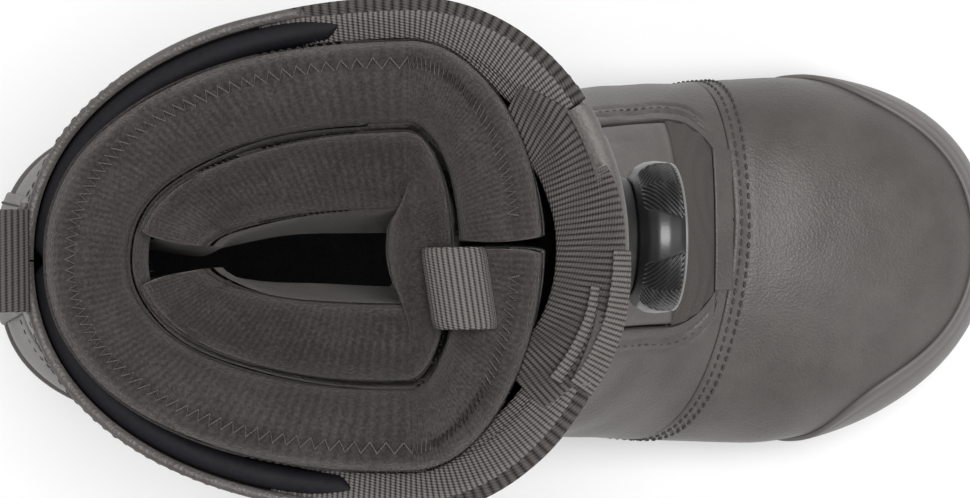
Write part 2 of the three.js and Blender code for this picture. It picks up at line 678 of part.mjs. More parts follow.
// ---------------------------------------------------------------- turning dial
const PLATE_RADIUS = 15;
const SPOOL_CLEARANCE = 0.6;
const HOUSING_WALL = 1.8;
const HOUSING_FLOOR = 2.4;
const HOUSING_TOP = 6.2;
const DISC_HEIGHT = 2;
const KNOB_BACK = 6.6; // from the tongue to the back of the knob

function makeDial() {
  const dial = new THREE.Group();
  dialFrame.decompose(dial.position, dial.quaternion, dial.scale);
  boot.add(dial);
  const backToDial = new THREE.Matrix4().copy(dialFrame).invert();
  const tongueHere = tongueTo(-TONGUE_THICKNESS - FIT_GAP, FIT_GAP).transform(backToDial.elements);
  const cupRadius = HOUSING_RADIUS - HOUSING_WALL;
  const housing = turnedProfile([
    [boltHole, -4],
    [HOUSING_RADIUS + 3, -4],
    [HOUSING_RADIUS + 3, 1.6],
    [HOUSING_RADIUS, HOUSING_TOP],
    [cupRadius, HOUSING_TOP],
    [cupRadius, HOUSING_FLOOR],
    [boltHole, HOUSING_FLOOR],
    [boltHole, -4],
  ]);
  add("dial_housing", housing.subtract(tongueHere), "plastic", dial);
  const plate = turnedProfile([
    [boltHole, -TONGUE_THICKNESS - 5],
    [PLATE_RADIUS, -TONGUE_THICKNESS - 5],
    [PLATE_RADIUS, -TONGUE_THICKNESS + 1],
    [boltHole, -TONGUE_THICKNESS + 1],
    [boltHole, -TONGUE_THICKNESS - 5],
  ]);
  add("dial_backing_plate", plate.subtract(tongueHere), "plastic", dial);
  const flange = cupRadius - SPOOL_CLEARANCE;
  const spoolLow = HOUSING_FLOOR + 0.4;
  const spoolHigh = HOUSING_TOP + 0.2;
  const spool = turnedProfile([
    [boltHole, spoolLow],
    [flange, spoolLow],
    [flange, spoolLow + 0.7],
    [flange - 3.5, spoolLow + 1],
    [flange - 3.5, spoolHigh - 1],
    [flange, spoolHigh - 0.7],
    [flange, spoolHigh],
    [boltHole, spoolHigh],
    [boltHole, spoolLow],
  ]);
  add("lace_spool", spool, "plastic", dial);
  const discLow = spoolHigh + 0.4;
  const disc = turnedProfile([
    [boltHole, discLow],
    [flange, discLow],
    [flange, discLow + DISC_HEIGHT],
    [boltHole, discLow + DISC_HEIGHT],
    [boltHole, discLow],
  ]);
  add("drive_disc", disc, "plastic", dial);
  const headLow = discLow + DISC_HEIGHT + 0.4;
  const screw = turnedProfile(
    [
      [0, -TONGUE_THICKNESS - 4.5],
      [SCREW_RADIUS, -TONGUE_THICKNESS - 4.5],
      [SCREW_RADIUS, headLow],
      [4, headLow],
      [4, headLow + 1.4],
      [0, headLow + 1.4],
    ],
    20,
  );
  add("dial_screw", screw, "metal", dial);
  const front = KNOB_BACK + DIAL_DEPTH;
  const knobInner = cupRadius + 0.4;
  const knob = turnedProfile(
    [
      [0, front - 3],
      [knobInner, front - 3],
      [knobInner, KNOB_BACK],
      [HOUSING_RADIUS + 0.4, KNOB_BACK],
      [DIAL_RADIUS - 0.5, KNOB_BACK + 2.2],
      [DIAL_RADIUS, KNOB_BACK + 3.4],
      [DIAL_RADIUS, front - 1.4],
      [DIAL_RADIUS - 1, front - 0.2],
      [DIAL_RADIUS - 5, front - 0.2],
      [DIAL_RADIUS - 5, front - 1.4],
      [0, front - 1.4],
    ],
    36,
  );
  add("knob_grip", knob, "rubber", dial);
  const face = turnedProfile([
    [0, front - 1.05],
    [DIAL_RADIUS - 5.4, front - 1.05],
    [DIAL_RADIUS - 5.4, front],
    [0, front],
  ]);
  add("knob_face", face, "plastic", dial);
}

// ---------------------------------------------------------------- liner
// The liner and the foot's room are smaller copies of the last: insets are [front, side, rear].
const LINER_FLOOR = SOLE_TOP + FIT_GAP + BOARD_THICKNESS + FIT_GAP;
const LINER_TOP = 292;
const CUFF_FROM = 70; // the liner thickens from this station up to the next
const CUFF_FULL = 165;
const LINER_STATIONS = [-66, -60, -50, -38, -20, 0, 20, 40, 52, 60, 68, 78, 90, 110, 135, 165, 200, 232];
const RING_STEPS = 26;

const fullness = (s) => ramp(s, CUFF_FROM, CUFF_FULL);
const linerOutside = (s) => {
  const slip = SHELL_THICKNESS + LINER_SLIP + TOE_ROOM * ramp(s, -30, -66);
  const underTongue = slip + (TONGUE_THICKNESS + 0.5) * ramp(s, -10, 10);
  const foot = [underTongue, slip + GUIDE.thickness * ramp(s, 0, 40), slip];
  const leg = [LINER_FRONT_ROOM, LINER_COLLAR_ROOM, LINER_COLLAR_ROOM];
  return foot.map((d, i) => mix(d, leg[i], fullness(s)));
};
const linerInside = (s) => linerOutside(s).map((d) => d + mix(LINER_FOOT_WALL, LINER_CUFF_WALL, fullness(s)));

// The point of an inset section at a turn from the crest, 0, through the medial side, to the crest again.
function insetPoint(s, insets, turn, floor) {
  const st = station(s);
  const c = Math.cos(turn);
  const ahead = c > 0;
  const power = 2 / (ahead ? st.frontRound : st.rearRound);
  const along = Math.abs(c) ** power;
  const depth = ahead
    ? -((st.middle - st.crest) * st.closeHeight - insets[0])
    : (st.far - st.middle) * st.closeHeight - insets[2];
  const wide = st.half * st.closeWidth - insets[1];
  const angle = THREE.MathUtils.degToRad(Math.min(Math.max(s, 0), 90));
  const x0 = FAN.x - Math.min(s, 0);
  const z0 = FAN.z + Math.max(s - 90, 0);
  const y =
    st.shift +
    (ahead ? st.skew * along ** 2 : 0) +
    Math.sign(Math.sin(turn)) * wide * Math.abs(Math.sin(turn)) ** power;
  const p = (reach) => fromLast(x0 - reach * Math.sin(angle), y, z0 - reach * Math.cos(angle));
  const whole = p(st.middle + depth * along);
  if (whole.z >= floor) return whole;
  const [top, low] = [p(0), p(400)];
  return p((400 * (top.z - floor)) / (top.z - low.z));
}

function insetForm(insetsAt, stations, floor) {
  return loft(
    stations.map((s) =>
      Array.from({ length: RING_STEPS }, (_, i) =>
        insetPoint(s, insetsAt(s), ((i + 0.5) * 2 * Math.PI) / RING_STEPS, floor),
      ),
    ),
  );
}

// A part of a section's wall between two insets, for turns to each side of the crest.
function wrap(stations, columns, spanAt, outside, inside) {
  const grid = (insetsAt) =>
    stations.map((s) =>
      Array.from({ length: columns + 1 }, (_, j) =>
        insetPoint(s, insetsAt(s), mix(-spanAt(s), spanAt(s), j / columns), LINER_FLOOR),
      ),
    );
  return solidFromGrids(grid(outside), grid(inside));
}

const LINER_SOLE = 3.6;
const LINER_SLIT = 6; // between the two ends of the cuff, down the shin
const TONGUE_ROOM = 1; // between the liner's cuff and its tongue
const LINER_TONGUE_WALL = 14;

function makeLiner() {
  const topStation = heightStation(LINER_TOP);
  const stations = [...LINER_STATIONS.slice(0, -1), topStation];
  const body = insetForm(linerOutside, stations, LINER_FLOOR);
  const roomStations = [-60, ...LINER_STATIONS.slice(2, -1), topStation + 2];
  const insole = LINER_FLOOR + LINER_SOLE;
  const room = insetForm(linerInside, roomStations, insole);
  const slitRing = (s) => {
    const point = (y, reach) => {
      const angle = THREE.MathUtils.degToRad(Math.min(s, 90));
      const z = FAN.z + Math.max(s - 90, 0) - reach * Math.cos(angle);
      return fromLast(FAN.x - reach * Math.sin(angle), y, z);
    };
    const { middle, skew } = station(s);
    const shift = skew * 0.7;
    return [
      point(shift - LINER_SLIT / 2, 20),
      point(shift + LINER_SLIT / 2, 20),
      point(shift + LINER_SLIT / 2, middle - 8),
      point(shift - LINER_SLIT / 2, middle - 8),
    ];
  };
  const slit = loft([34, 60, 90, 120, 160, 200, topStation + 2].map(slitRing));
  add("liner_body", body.subtract(room).subtract(slit), "lining");
  const outside = (s) => linerInside(s).map((d) => d + TONGUE_ROOM);
  const inside = (s) => outside(s).map((d) => d + mix(LINER_FOOT_WALL, LINER_TONGUE_WALL, fullness(s)));
  const span = (s) => mix(0.9, 2.75, ramp(s, 45, 135));
  const tongueStations = [42, 55, 70, 90, 110, 135, 165, 200, topStation - 2];
  add("liner_tongue", wrap(tongueStations, 22, span, outside, inside), "lining");
  const bedLow = insole + FIT_GAP;
  const within = insetForm((s) => linerInside(s).map((d) => d + FIT_GAP), roomStations, insole);
  const plate = solePlate(-LINER_FOOT_WALL, bedLow, bedLow + FOOTBED_THICKNESS, 0, 0);
  add("footbed", plate.intersect(within), "foam");
}

// ---------------------------------------------------------------- pull straps
// A strap of webbing that follows a curve in the boot's middle plane, given as [x, z] points.
function strap(route, width, y) {
  const curve = new THREE.SplineCurve(route.map(([x, z]) => new THREE.Vector2(x, z)));
  const count = route.length * 3;
  const side = (sign) =>
    Array.from({ length: count + 1 }, (_, i) => {
      const at = curve.getPoint(i / count);
      const along = curve.getTangent(i / count);
      return new THREE.Vector2(
        at.x - (sign * along.y * STRAP_THICKNESS) / 2,
        at.y + (sign * along.x * STRAP_THICKNESS) / 2,
      );
    });
  const outline = new THREE.Shape([...side(1), ...side(-1).reverse()]);
  const matrix = new THREE.Matrix4().makeTranslation(0, y + width / 2, 0).multiply(
    new THREE.Matrix4().makeRotationX(Math.PI / 2),
  );
  return solidFromGeometry(
    new THREE.ExtrudeGeometry(outline, { depth: width, bevelEnabled: false }),
    matrix,
  );
}

function makeStraps() {
  const down = (drop) => atSection(collarStation(1) - drop, girth(collarStation(1) - drop, MEDIAL));
  const [back, low, lower] = [down(0), down(32), down(42)];
  const clear = OVERLAY_THICKNESS + 2 * COVER_GAP + STRAP_THICKNESS;
  const heel = strap(
    [
      [back.x + 2, back.z + 2.2],
      [back.x - 5, back.z + 4],
      [back.x - HEEL_STRAP_REACH + 2, back.z - 3],
      [back.x - HEEL_STRAP_REACH - 3, back.z - 18],
      [low.x - clear - FIT_GAP, low.z],
      [lower.x - clear, lower.z],
    ],
    HEEL_STRAP_WIDTH,
    0,
  );
  add("heel_pull_strap", clearOfShell(heel), "webbing");
  const s = heightStation(LINER_TOP) - 2;
  const brim = insetPoint(s, linerInside(s).map((d) => d + TONGUE_ROOM), 0, 0);
  const liner = strap(
    [
      [brim.x - 9, brim.z + 0.6],
      [brim.x - 8.5, brim.z + 7.5],
      [brim.x - 1, brim.z + 9.5],
      [brim.x + LINER_STRAP_REACH, brim.z + 7],
      [brim.x + LINER_STRAP_REACH, brim.z + 2.6],
    ],
    LINER_STRAP_WIDTH,
    -7,
  );
  add("liner_pull_strap", liner, "webbing");
}

makeSole();
makeShell();
makeTongue();
makeLaceGuides();
makeDial();
makeLiner();
makeStraps();

// The origin goes under the middle of the finished boot.
const extent = new THREE.Box3().setFromObject(boot);
const middle = extent.getCenter(new THREE.Vector3());
boot.position.set(-middle.x, -middle.y, -extent.min.z);

export default boot;
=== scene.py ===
import math

import bmesh
import bpy
import numpy as np
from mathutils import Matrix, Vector


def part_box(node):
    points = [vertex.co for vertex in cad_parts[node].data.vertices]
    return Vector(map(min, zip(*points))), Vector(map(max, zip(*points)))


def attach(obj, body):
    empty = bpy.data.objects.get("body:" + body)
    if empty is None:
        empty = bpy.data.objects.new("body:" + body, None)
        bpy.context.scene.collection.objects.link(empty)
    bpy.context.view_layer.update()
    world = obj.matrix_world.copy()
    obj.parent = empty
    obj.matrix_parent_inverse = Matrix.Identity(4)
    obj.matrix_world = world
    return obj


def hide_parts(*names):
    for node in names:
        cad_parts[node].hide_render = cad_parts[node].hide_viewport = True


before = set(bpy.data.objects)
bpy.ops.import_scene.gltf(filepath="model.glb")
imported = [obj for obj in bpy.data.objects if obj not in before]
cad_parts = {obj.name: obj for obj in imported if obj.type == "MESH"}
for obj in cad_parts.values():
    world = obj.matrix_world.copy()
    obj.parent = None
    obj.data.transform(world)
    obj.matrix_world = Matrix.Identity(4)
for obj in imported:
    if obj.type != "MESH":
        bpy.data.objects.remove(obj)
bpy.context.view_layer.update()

# ---------------------------------------------------------------- camera, light and floor
# The boot stands on a pale floor under a wide soft light. It is seen from above, with the camera tilted and
# turned by less than a degree.
EYE_HEIGHT = 0.79
camera_data = bpy.data.cameras.new("camera")
camera_data.lens = 89.0
camera_data.sensor_width = 36.0
camera = bpy.data.objects.new("camera", camera_data)
camera.location = (-0.0073, -0.0072, EYE_HEIGHT)
camera.rotation_euler = (0.015, 0, -0.012)
bpy.context.scene.collection.objects.link(camera)
bpy.context.scene.camera = camera

world = bpy.data.worlds.new("studio")
world.use_nodes = True
world.node_tree.nodes["Background"].inputs["Color"].default_value = (1, 1, 1, 1)
world.node_tree.nodes["Background"].inputs["Strength"].default_value = 0.3
bpy.context.scene.world = world
bpy.context.scene.view_settings.view_transform = "Standard"


def lamp(name, place, size, watts, aim=(0, 0, 0.1)):
    data = bpy.data.lights.new(name, "AREA")
    data.shape = "DISK"
    data.size = size
    data.energy = watts
    made = bpy.data.objects.new(name, data)
    made.location = place
    made.rotation_euler = (Vector(aim) - Vector(place)).to_track_quat("-Z", "Y").to_euler()
    bpy.context.scene.collection.objects.link(made)


lamp("overhead", (0.35, 0.1, 4.0), 2.0, 128)
lamp("side", (1.6, -1.2, 1.3), 0.8, 7)
lamp("back", (-1.5, 1.3, 1.1), 0.8, 6)

bpy.ops.mesh.primitive_plane_add(size=8, location=(0, 0, -0.0005))
floor = bpy.context.object
floor.name = "floor"
floor_material = bpy.data.materials.new("pale_floor")
floor_material.use_nodes = True
floor_shader = floor_material.node_tree.nodes["Principled BSDF"]
floor_shader.inputs["Base Color"].default_value = (0.96, 0.96, 0.96, 1)
floor_shader.inputs["Roughness"].default_value = 0.9
floor_noise = floor_material.node_tree.nodes.new("ShaderNodeTexNoise")
floor_noise.inputs["Scale"].default_value = 40
floor_bump = floor_material.node_tree.nodes.new("ShaderNodeBump")
floor_bump.inputs["Strength"].default_value = 0.05
floor_material.node_tree.links.new(floor_noise.outputs["Fac"], floor_bump.inputs["Height"])
floor_material.node_tree.links.new(floor_bump.outputs["Normal"], floor_shader.inputs["Normal"])
floor.data.materials.append(floor_material)


# ---------------------------------------------------------------- shell leather
# The shell is cut from matte synthetic leather with a fine pebbled grain, backed with foam. Its panels are
# laid edge to edge and stitched down, and each one has a skived, slightly rounded edge.

# The upper is pulled over a last, so every leather and foam piece follows its form. Planes cut it from the
# toe to the collar: upright ones, then ones that fan round FAN, then level ones up the shaft. A station is
# a place on that way, and all of this is in millimetres.
MM = 0.001
SOLE_TOP = 23.5
FAN_X, FAN_Z = 70.0, 150.0
TOE_PART, TOE_ROUND, TOE_DOME = 79.0, 2.2, 2.6
STATIONS = np.array([
    # at, crest, middle, far, half, shift, skew, front round, rear round
    [-79, 76, 114, 153, 57, 6, 0, 2.4, 2.6],
    [-60, 74, 113.5, 153, 57, 4.5, 2, 2.4, 2.6],
    [-40, 72, 112.5, 153, 57, 2.6, 6, 2.35, 2.6],
    [-20, 69.5, 111, 153, 57, 1, 10, 2.3, 2.6],
    [0, 67, 110, 153, 56.5, 0, 12, 2.3, 2.6],
    [15, 60, 110, 161, 55, 0, 12, 2.2, 2.6],
    [30, 54.5, 110, 180, 53, 0, 11.5, 2.2, 2.7],
    [45, 51.5, 110, 212, 51, 0, 10.5, 2.15, 2.9],
    [59, 49.5, 110, 246, 49.5, 0, 9.8, 2.1, 3],
    [65, 49.2, 110, 240, 48.8, 0, 9.4, 2.1, 3],
    [72, 49, 110, 229, 48, 0, 8.9, 2.1, 3],
    [80, 49.2, 110, 217, 47.6, 0, 8.3, 2.1, 2.8],
    [90, 49.5, 110, 202, 47.5, 0, 7.5, 2.1, 2.5],
    [110, 50.5, 108, 198, 48, 0, 6.2, 2.1, 2.3],
    [135, 48, 104, 192.5, 49.5, 0, 5, 2.05, 2.2],
    [160, 46, 100, 187, 51, 0, 4, 2, 2.2],
    [190, 45.3, 96, 181, 53, 0, 3, 1.95, 2.2],
    [225, 46.6, 93, 174.5, 55, 0, 2, 1.95, 2.2],
    [255, 48.5, 92, 169, 56, 0, 1, 1.95, 2.2],
])
SHANK_X = -28.0
shank_low, shank_high = (np.array(corner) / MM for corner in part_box("shank"))
SHIFT = (shank_low + shank_high) / 2 - (SHANK_X, 0, 0)
SHIFT[2] = 0


def station(s):
    at, values = STATIONS[:, 0], STATIONS[:, 1:]
    last = len(at) - 1
    i = np.clip(np.searchsorted(at, s) - 1, 0, last - 1)
    before, after = np.maximum(i - 1, 0), np.minimum(i + 2, last)
    span = (at[i + 1] - at[i])[..., None]
    t = np.clip((s - at[i])[..., None] / span, 0, 1)
    a, b = values[i], values[i + 1]
    slope_a = (b - values[before]) / (at[i + 1] - at[before])[..., None]
    slope_b = (values[after] - a) / (at[after] - at[i])[..., None]
    v = ((2 * t**3 - 3 * t**2 + 1) * a + (t**3 - 2 * t**2 + t) * span * slope_a
         + (3 * t**2 - 2 * t**3) * b + (t**3 - t**2) * span * slope_b)
    ahead = np.clip(-s / TOE_PART, 0, 1)
    close_width = (1 - ahead**TOE_ROUND) ** (1 / TOE_ROUND)
    close_height = (1 - ahead**TOE_DOME) ** (1 / TOE_DOME)
    return [v[..., k] for k in range(8)] + [close_width, close_height]


def section_point(s, turn, side=1.0, insets=(0, 0, 0)):
    """A point of a section: turn 0 is the crest, pi the back or the sole, and insets shrink it."""
    s, turn = np.broadcast_arrays(np.asarray(s, float), turn)
    crest, middle, far, half, shift, skew, front, rear, width, height = station(s)
    c, w = np.cos(turn), np.sin(turn)
    ahead = c > 0
    power = 2 / np.where(ahead, front, rear)
    along = np.abs(c) ** power
    depth = np.where(ahead, insets[0] - (middle - crest) * height, (far - middle) * height - insets[2])
    reach = middle + depth * along
    y = shift + np.where(ahead, skew * along**2, 0)
    y = y + side * np.sign(w) * (half * width - insets[1]) * np.abs(w) ** power
    angle = np.radians(np.clip(s, 0, 90))
    x = FAN_X - np.minimum(s, 0) - reach * np.sin(angle)
    z = FAN_Z + np.maximum(s - 90, 0) - reach * np.cos(angle)
    return np.stack([x, y, z], -1)


def ruler(s, side):
    """Points down one side of each section, their distances from the crest, and the whole length."""
    points = section_point(s[:, None], np.linspace(0, math.pi, 97)[None], side[:, None])
    steps = np.linalg.norm(np.diff(points, axis=1), axis=2)
    lengths = np.concatenate([np.zeros((len(s), 1)), np.cumsum(steps, axis=1)], axis=1)
    below = points[..., 2] < SOLE_TOP
    first = np.where(below.any(1), below.argmax(1), 96)
    rows = np.arange(len(s))
    za, zb = points[rows, first - 1, 2], points[rows, first, 2]
    share = np.where(below.any(1), (za - SOLE_TOP) / np.maximum(za - zb, 1e-9), 1)
    whole = lengths[rows, first - 1] + share * (lengths[rows, first] - lengths[rows, first - 1])
    return points, lengths, whole


def girth(s, side):
    s = np.atleast_1d(np.asarray(s, float))
    flat = ruler(s.ravel(), np.broadcast_to(np.asarray(side, float), s.shape).ravel())[2]
    return flat.reshape(s.shape)


def on_last(s, u):
    """The point of the last u mm round from the crest of section s: medial above 0, lateral below."""
    s, u = np.broadcast_arrays(np.asarray(s, float), np.asarray(u, float))
    shape, s, u = s.shape, s.ravel(), u.ravel()
    points, lengths, whole = ruler(s, np.where(u < 0, -1.0, 1.0))
    d = np.minimum(np.abs(u), whole)
    k = np.clip((lengths < d[:, None]).sum(1), 1, 96)
    rows = np.arange(len(s))
    a, b = lengths[rows, k - 1], lengths[rows, k]
    t = ((d - a) / np.maximum(b - a, 1e-9))[:, None]
    return (points[rows, k - 1] * (1 - t) + points[rows, k] * t).reshape(*shape, 3)


def last_value(p):
    """Below 0 inside the last and above 0 outside it."""
    x, y, z = p[..., 0], p[..., 1], p[..., 2]
    high, toe = z > FAN_Z, x > FAN_X
    bearing = np.degrees(np.arctan2(FAN_X - x, FAN_Z - z))
    s = np.where(high, 90 + z - FAN_Z, np.where(toe, FAN_X - x, bearing))
    reach = np.where(high, FAN_X - x, np.where(toe, FAN_Z - z, np.hypot(FAN_X - x, FAN_Z - z)))
    crest, middle, far, half, shift, skew, front, rear, width, height = station(s)
    ahead = reach < middle
    depth = np.maximum(np.where(ahead, middle - crest, far - middle) * height, 1e-6)
    along = np.abs(reach - middle) / depth
    side = y - shift - np.where(ahead, skew * np.minimum(along, 1) ** 2, 0)
    power = np.where(ahead, front, rear)
    value = along**power + np.abs(side / np.maximum(half * width, 1e-6)) ** power - 1
    return np.where(s <= -TOE_PART, 1 - s - TOE_PART, np.minimum(value, 50))


def outward(p):
    n = np.empty_like(p)
    for axis in range(3):
        step = np.zeros(3)
        step[axis] = 0.05
        n[..., axis] = last_value(p + step) - last_value(p - step)
    return n / np.maximum(np.linalg.norm(n, axis=-1, keepdims=True), 1e-9)


def height_station(z):
    """The level station at a height."""
    return 90 + z - FAN_Z


def mix(a, b, t):
    return a + (b - a) * t


def ease(t):
    t = np.clip(t, 0, 1)
    return t * t * (3 - 2 * t)


def new_material(name, colour, roughness, **sockets):
    """A new material, its tree and its shader, with the shader's constant sockets set."""
    made = bpy.data.materials.new(name)
    made.use_nodes = True
    shader = made.node_tree.nodes["Principled BSDF"]
    shader.inputs["Base Color"].default_value = (*colour, 1)
    shader.inputs["Roughness"].default_value = roughness
    for socket, value in sockets.items():
        shader.inputs[socket.replace("_", " ")].default_value = value
    return made, made.node_tree, shader


def texture(tree, kind, vector, **inputs):
    made = tree.nodes.new(kind)
    for socket, value in inputs.items():
        made.inputs[socket.replace("_", " ")].default_value = value
    tree.links.new(vector, made.inputs["Vector"])
    return made


def object_coordinates(tree):
    return tree.nodes.new("ShaderNodeTexCoord").outputs["Object"]


def cut_coordinates(tree):
    """Millimetres along and across a piece, as it was cut."""
    made = tree.nodes.new("ShaderNodeUVMap")
    made.uv_map = "cut"
    return made.outputs["UV"]


def math_node(tree, operation, *values):
    made = tree.nodes.new("ShaderNodeMath")
    made.operation = operation
    for socket, value in zip(made.inputs, values):
        if isinstance(value, (int, float)):
            socket.default_value = value
        else:
            tree.links.new(value, socket)
    return made.outputs[0]


def tint(tree, shader, factor, low, high):
    """Mixes two colours by a factor and feeds them to the shader."""
    made = tree.nodes.new("ShaderNodeMix")
    made.data_type = "RGBA"
    tree.links.new(factor, made.inputs[0])
    made.inputs[6].default_value = (*low, 1)
    made.inputs[7].default_value = (*high, 1)
    tree.links.new(made.outputs[2], shader.inputs["Base Color"])


def bump(tree, shader, height, distance, strength=1.0, under=None):
    made = tree.nodes.new("ShaderNodeBump")
    made.inputs["Strength"].default_value = strength
    made.inputs["Distance"].default_value = distance
    tree.links.new(height, made.inputs["Height"])
    if under:
        tree.links.new(under, made.inputs["Normal"])
    tree.links.new(made.outputs["Normal"], shader.inputs["Normal"])
    return made.outputs["Normal"]


def leather(name, low, high, roughness):
    made, tree, shader = new_material(name, low, roughness, Specular_IOR_Level=0.5)
    where = object_coordinates(tree)
    cloud = texture(tree, "ShaderNodeTexNoise", where, Scale=55.0, Detail=5.0, Roughness=0.6)
    pebble = texture(tree, "ShaderNodeTexVoronoi", where, Scale=1300.0)
    fine = texture(tree, "ShaderNodeTexNoise", where, Scale=2600.0, Detail=3.0)
    crease = texture(tree, "ShaderNodeTexNoise", where, Scale=260.0, Detail=6.0, Roughness=0.72)
    spread = math_node(tree, "MULTIPLY_ADD", cloud.outputs["Fac"], 1.5, -0.25)
    speckle = math_node(tree, "MULTIPLY_ADD", fine.outputs["Fac"], 0.9, -0.45)
    tint(tree, shader, math_node(tree, "ADD", spread, speckle), low, high)
    rough = math_node(tree, "MULTIPLY_ADD", cloud.outputs["Fac"], 0.16, roughness - 0.08)
    tree.links.new(rough, shader.inputs["Roughness"])
    under = bump(tree, shader, crease.outputs["Fac"], 0.0004, 0.45)
    relief = math_node(tree, "MULTIPLY_ADD", fine.outputs["Fac"], 0.5, pebble.outputs["Distance"])
    bump(tree, shader, relief, 0.00012, 0.9, under)
    return made


SHELL_LEATHER = leather("matte_grained_leather", (0.062, 0.056, 0.053), (0.118, 0.107, 0.101), 0.44)


def mesh_piece(name, points, faces, material, body, uv=None, nodes=()):
    """A finished mesh from points in millimetres of the last, facing out, that rides on a body."""
    points = (np.asarray(points, float).reshape(-1, 3) + SHIFT) * MM
    faces = np.asarray(faces)
    a, b, c = points[faces[:, 0]], points[faces[:, 1]], points[faces[:, 2]]
    volume = np.einsum("ij,ij->i", a, np.cross(b, c)).sum()
    if faces.shape[1] == 4:
        volume += np.einsum("ij,ij->i", a, np.cross(c, points[faces[:, 3]])).sum()
    if volume < 0:
        faces = faces[:, ::-1]
    mesh = bpy.data.meshes.new(name)
    mesh.from_pydata(points.tolist(), [], faces.tolist())
    if uv is not None:
        layer = mesh.uv_layers.new(name="cut")
        index = np.empty(len(mesh.loops), dtype=np.int32)
        mesh.loops.foreach_get("vertex_index", index)
        layer.data.foreach_set("uv", np.asarray(uv, float).reshape(-1, 2)[index].ravel())
    tool = bmesh.new()
    tool.from_mesh(mesh)
    bmesh.ops.remove_doubles(tool, verts=tool.verts, dist=2e-6)
    bmesh.ops.dissolve_degenerate(tool, edges=tool.edges, dist=1e-7)
    tool.to_mesh(mesh)
    tool.free()
    mesh.shade_smooth()
    made = bpy.data.objects.new(name, mesh)
    bpy.context.scene.collection.objects.link(made)
    mesh.materials.append(material)
    if nodes:
        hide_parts(*nodes)
    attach(made, body)
    return made


def two_skins(outer, inner):
    """Points and faces of a piece between two grids, closed round its edges."""
    rows, columns = outer.shape[:2]
    i, j = np.meshgrid(np.arange(rows - 1), np.arange(columns - 1), indexing="ij")
    a = (i * columns + j).ravel()
    top = np.stack([a, a + 1, a + columns + 1, a + columns], 1)
    under = rows * columns
    low = top[:, ::-1] + under
    k = np.arange(columns - 1)
    end = (rows - 1) * columns
    front = np.stack([k + 1, k, under + k, under + k + 1], 1)
    back = np.stack([end + k, end + k + 1, under + end + k + 1, under + end + k], 1)
    r = np.arange(rows - 1) * columns
    left = np.stack([r, r + columns, under + r + columns, under + r], 1)
    e = r + columns - 1
    right = np.stack([e + columns, e, under + e, under + e + columns], 1)
    points = np.concatenate([outer.reshape(-1, 3), inner.reshape(-1, 3)])
    return points, np.concatenate([top, low, front, back, left, right])


def spaced(count, length, edge):
    """Shares from 0 to 1, close together near both ends, where an edge is rounded."""
    near = np.array([0, 0.08, 0.25, 0.55]) * edge / length
    inner = np.linspace(edge / length, 1 - edge / length, count)
    return np.concatenate([near, inner, 1 - near[::-1]])


def skin(name, where, size, cells, thickness, body, material, base=0.0, edge=1.0, lift=None, nodes=()):
    """A panel laid on the last. where(p, q) gives points of the last, size is its length and width, base is
    the height of its underside and lift(p, q) raises its face."""
    p, q = np.meshgrid(spaced(cells[0], size[0], edge), spaced(cells[1], size[1], edge), indexing="ij")
    ground = where(p, q)
    n = outward(ground)
    from_edge = np.minimum.reduce([p * size[0], (1 - p) * size[0], q * size[1], (1 - q) * size[1]])
    t = np.clip(from_edge / edge, 0, 1)
    top = base + thickness - edge * 0.9 * (1 - np.sqrt(np.maximum(1 - (1 - t) ** 2, 0)))
    if lift is not None:
        top = top + lift(p, q) * ease(from_edge / (edge * 1.5))
    points, faces = two_skins(ground + n * top[..., None], ground + n * base)
    uv = np.stack([p * size[0], q * size[1]], -1).reshape(-1, 2)
    return mesh_piece(name, points, faces, material, body, np.concatenate([uv, uv]), nodes)


SHELL_THICKNESS = 2.4
SEAM_GAP = 0.4
TONGUE_HALF, TONGUE_GAP = 31.0, 1.2
THROAT_START, TONGUE_FOLD = 8.0, 20.0
VAMP_SEAM, CUFF_SEAM = 3.0, 90.0
VAMP_SWEEP = {1: 11.0, -1: 24.0}
COLLAR_REAR, COLLAR_SIDE, COLLAR_FRONT, TONGUE_TOP = 274.0, 281.0, 287.0, 290.0
SIDES = {"medial": 1, "lateral": -1}


def vamp_seam(f):
    return VAMP_SEAM + np.where(f < 0, VAMP_SWEEP[-1], VAMP_SWEEP[1]) * np.abs(f) ** 1.6


def throat_half(s):
    end = THROAT_START + 14
    t = np.clip((end - s) / (end - THROAT_START), 0, 1)
    return TONGUE_HALF * np.sqrt(1 - 0.6 * t**2)


def throat_edge(s):
    return np.where(s < THROAT_START, SEAM_GAP / 2, throat_half(s) + TONGUE_GAP)


def collar_station(f):
    front = mix(COLLAR_FRONT, COLLAR_SIDE, ease(f * 2))
    rear = mix(COLLAR_SIDE, COLLAR_REAR, ease(f * 2 - 1))
    return height_station(np.where(f < 0.5, front, rear))


def outer_girth(s, side):
    return girth(s, side) - SEAM_GAP / 2


def across_collar(s, side, f):
    """The distance from the crest, at share f of the way from the throat's edge to the back."""
    return mix(TONGUE_HALF + TONGUE_GAP, outer_girth(s, side), f)


def vamp_way(p, q):
    f = 2 * q - 1
    s = mix(-TOE_PART + 0.02, vamp_seam(f) - SEAM_GAP, 1 - np.cos(p * math.pi / 2))
    return s, f * outer_girth(s, np.where(f < 0, -1.0, 1.0))


def quarter_way(side, p, q):
    s = mix(vamp_seam(side * q), CUFF_SEAM - SEAM_GAP, p**1.5)
    outer, throat = outer_girth(s, side), throat_edge(s)
    u = mix(q * outer, mix(throat, outer, q), ease(p * 2.5))
    return s, np.maximum(u, throat)


def collar_way(side, p, q, a=0.0, b=1.0, depth=0.0, top=0.0):
    f = mix(a, b, q)
    low = collar_station(f) - depth if depth else CUFF_SEAM + SEAM_GAP
    s = mix(low, collar_station(f) - top, p)
    return s, across_collar(s, side, f)


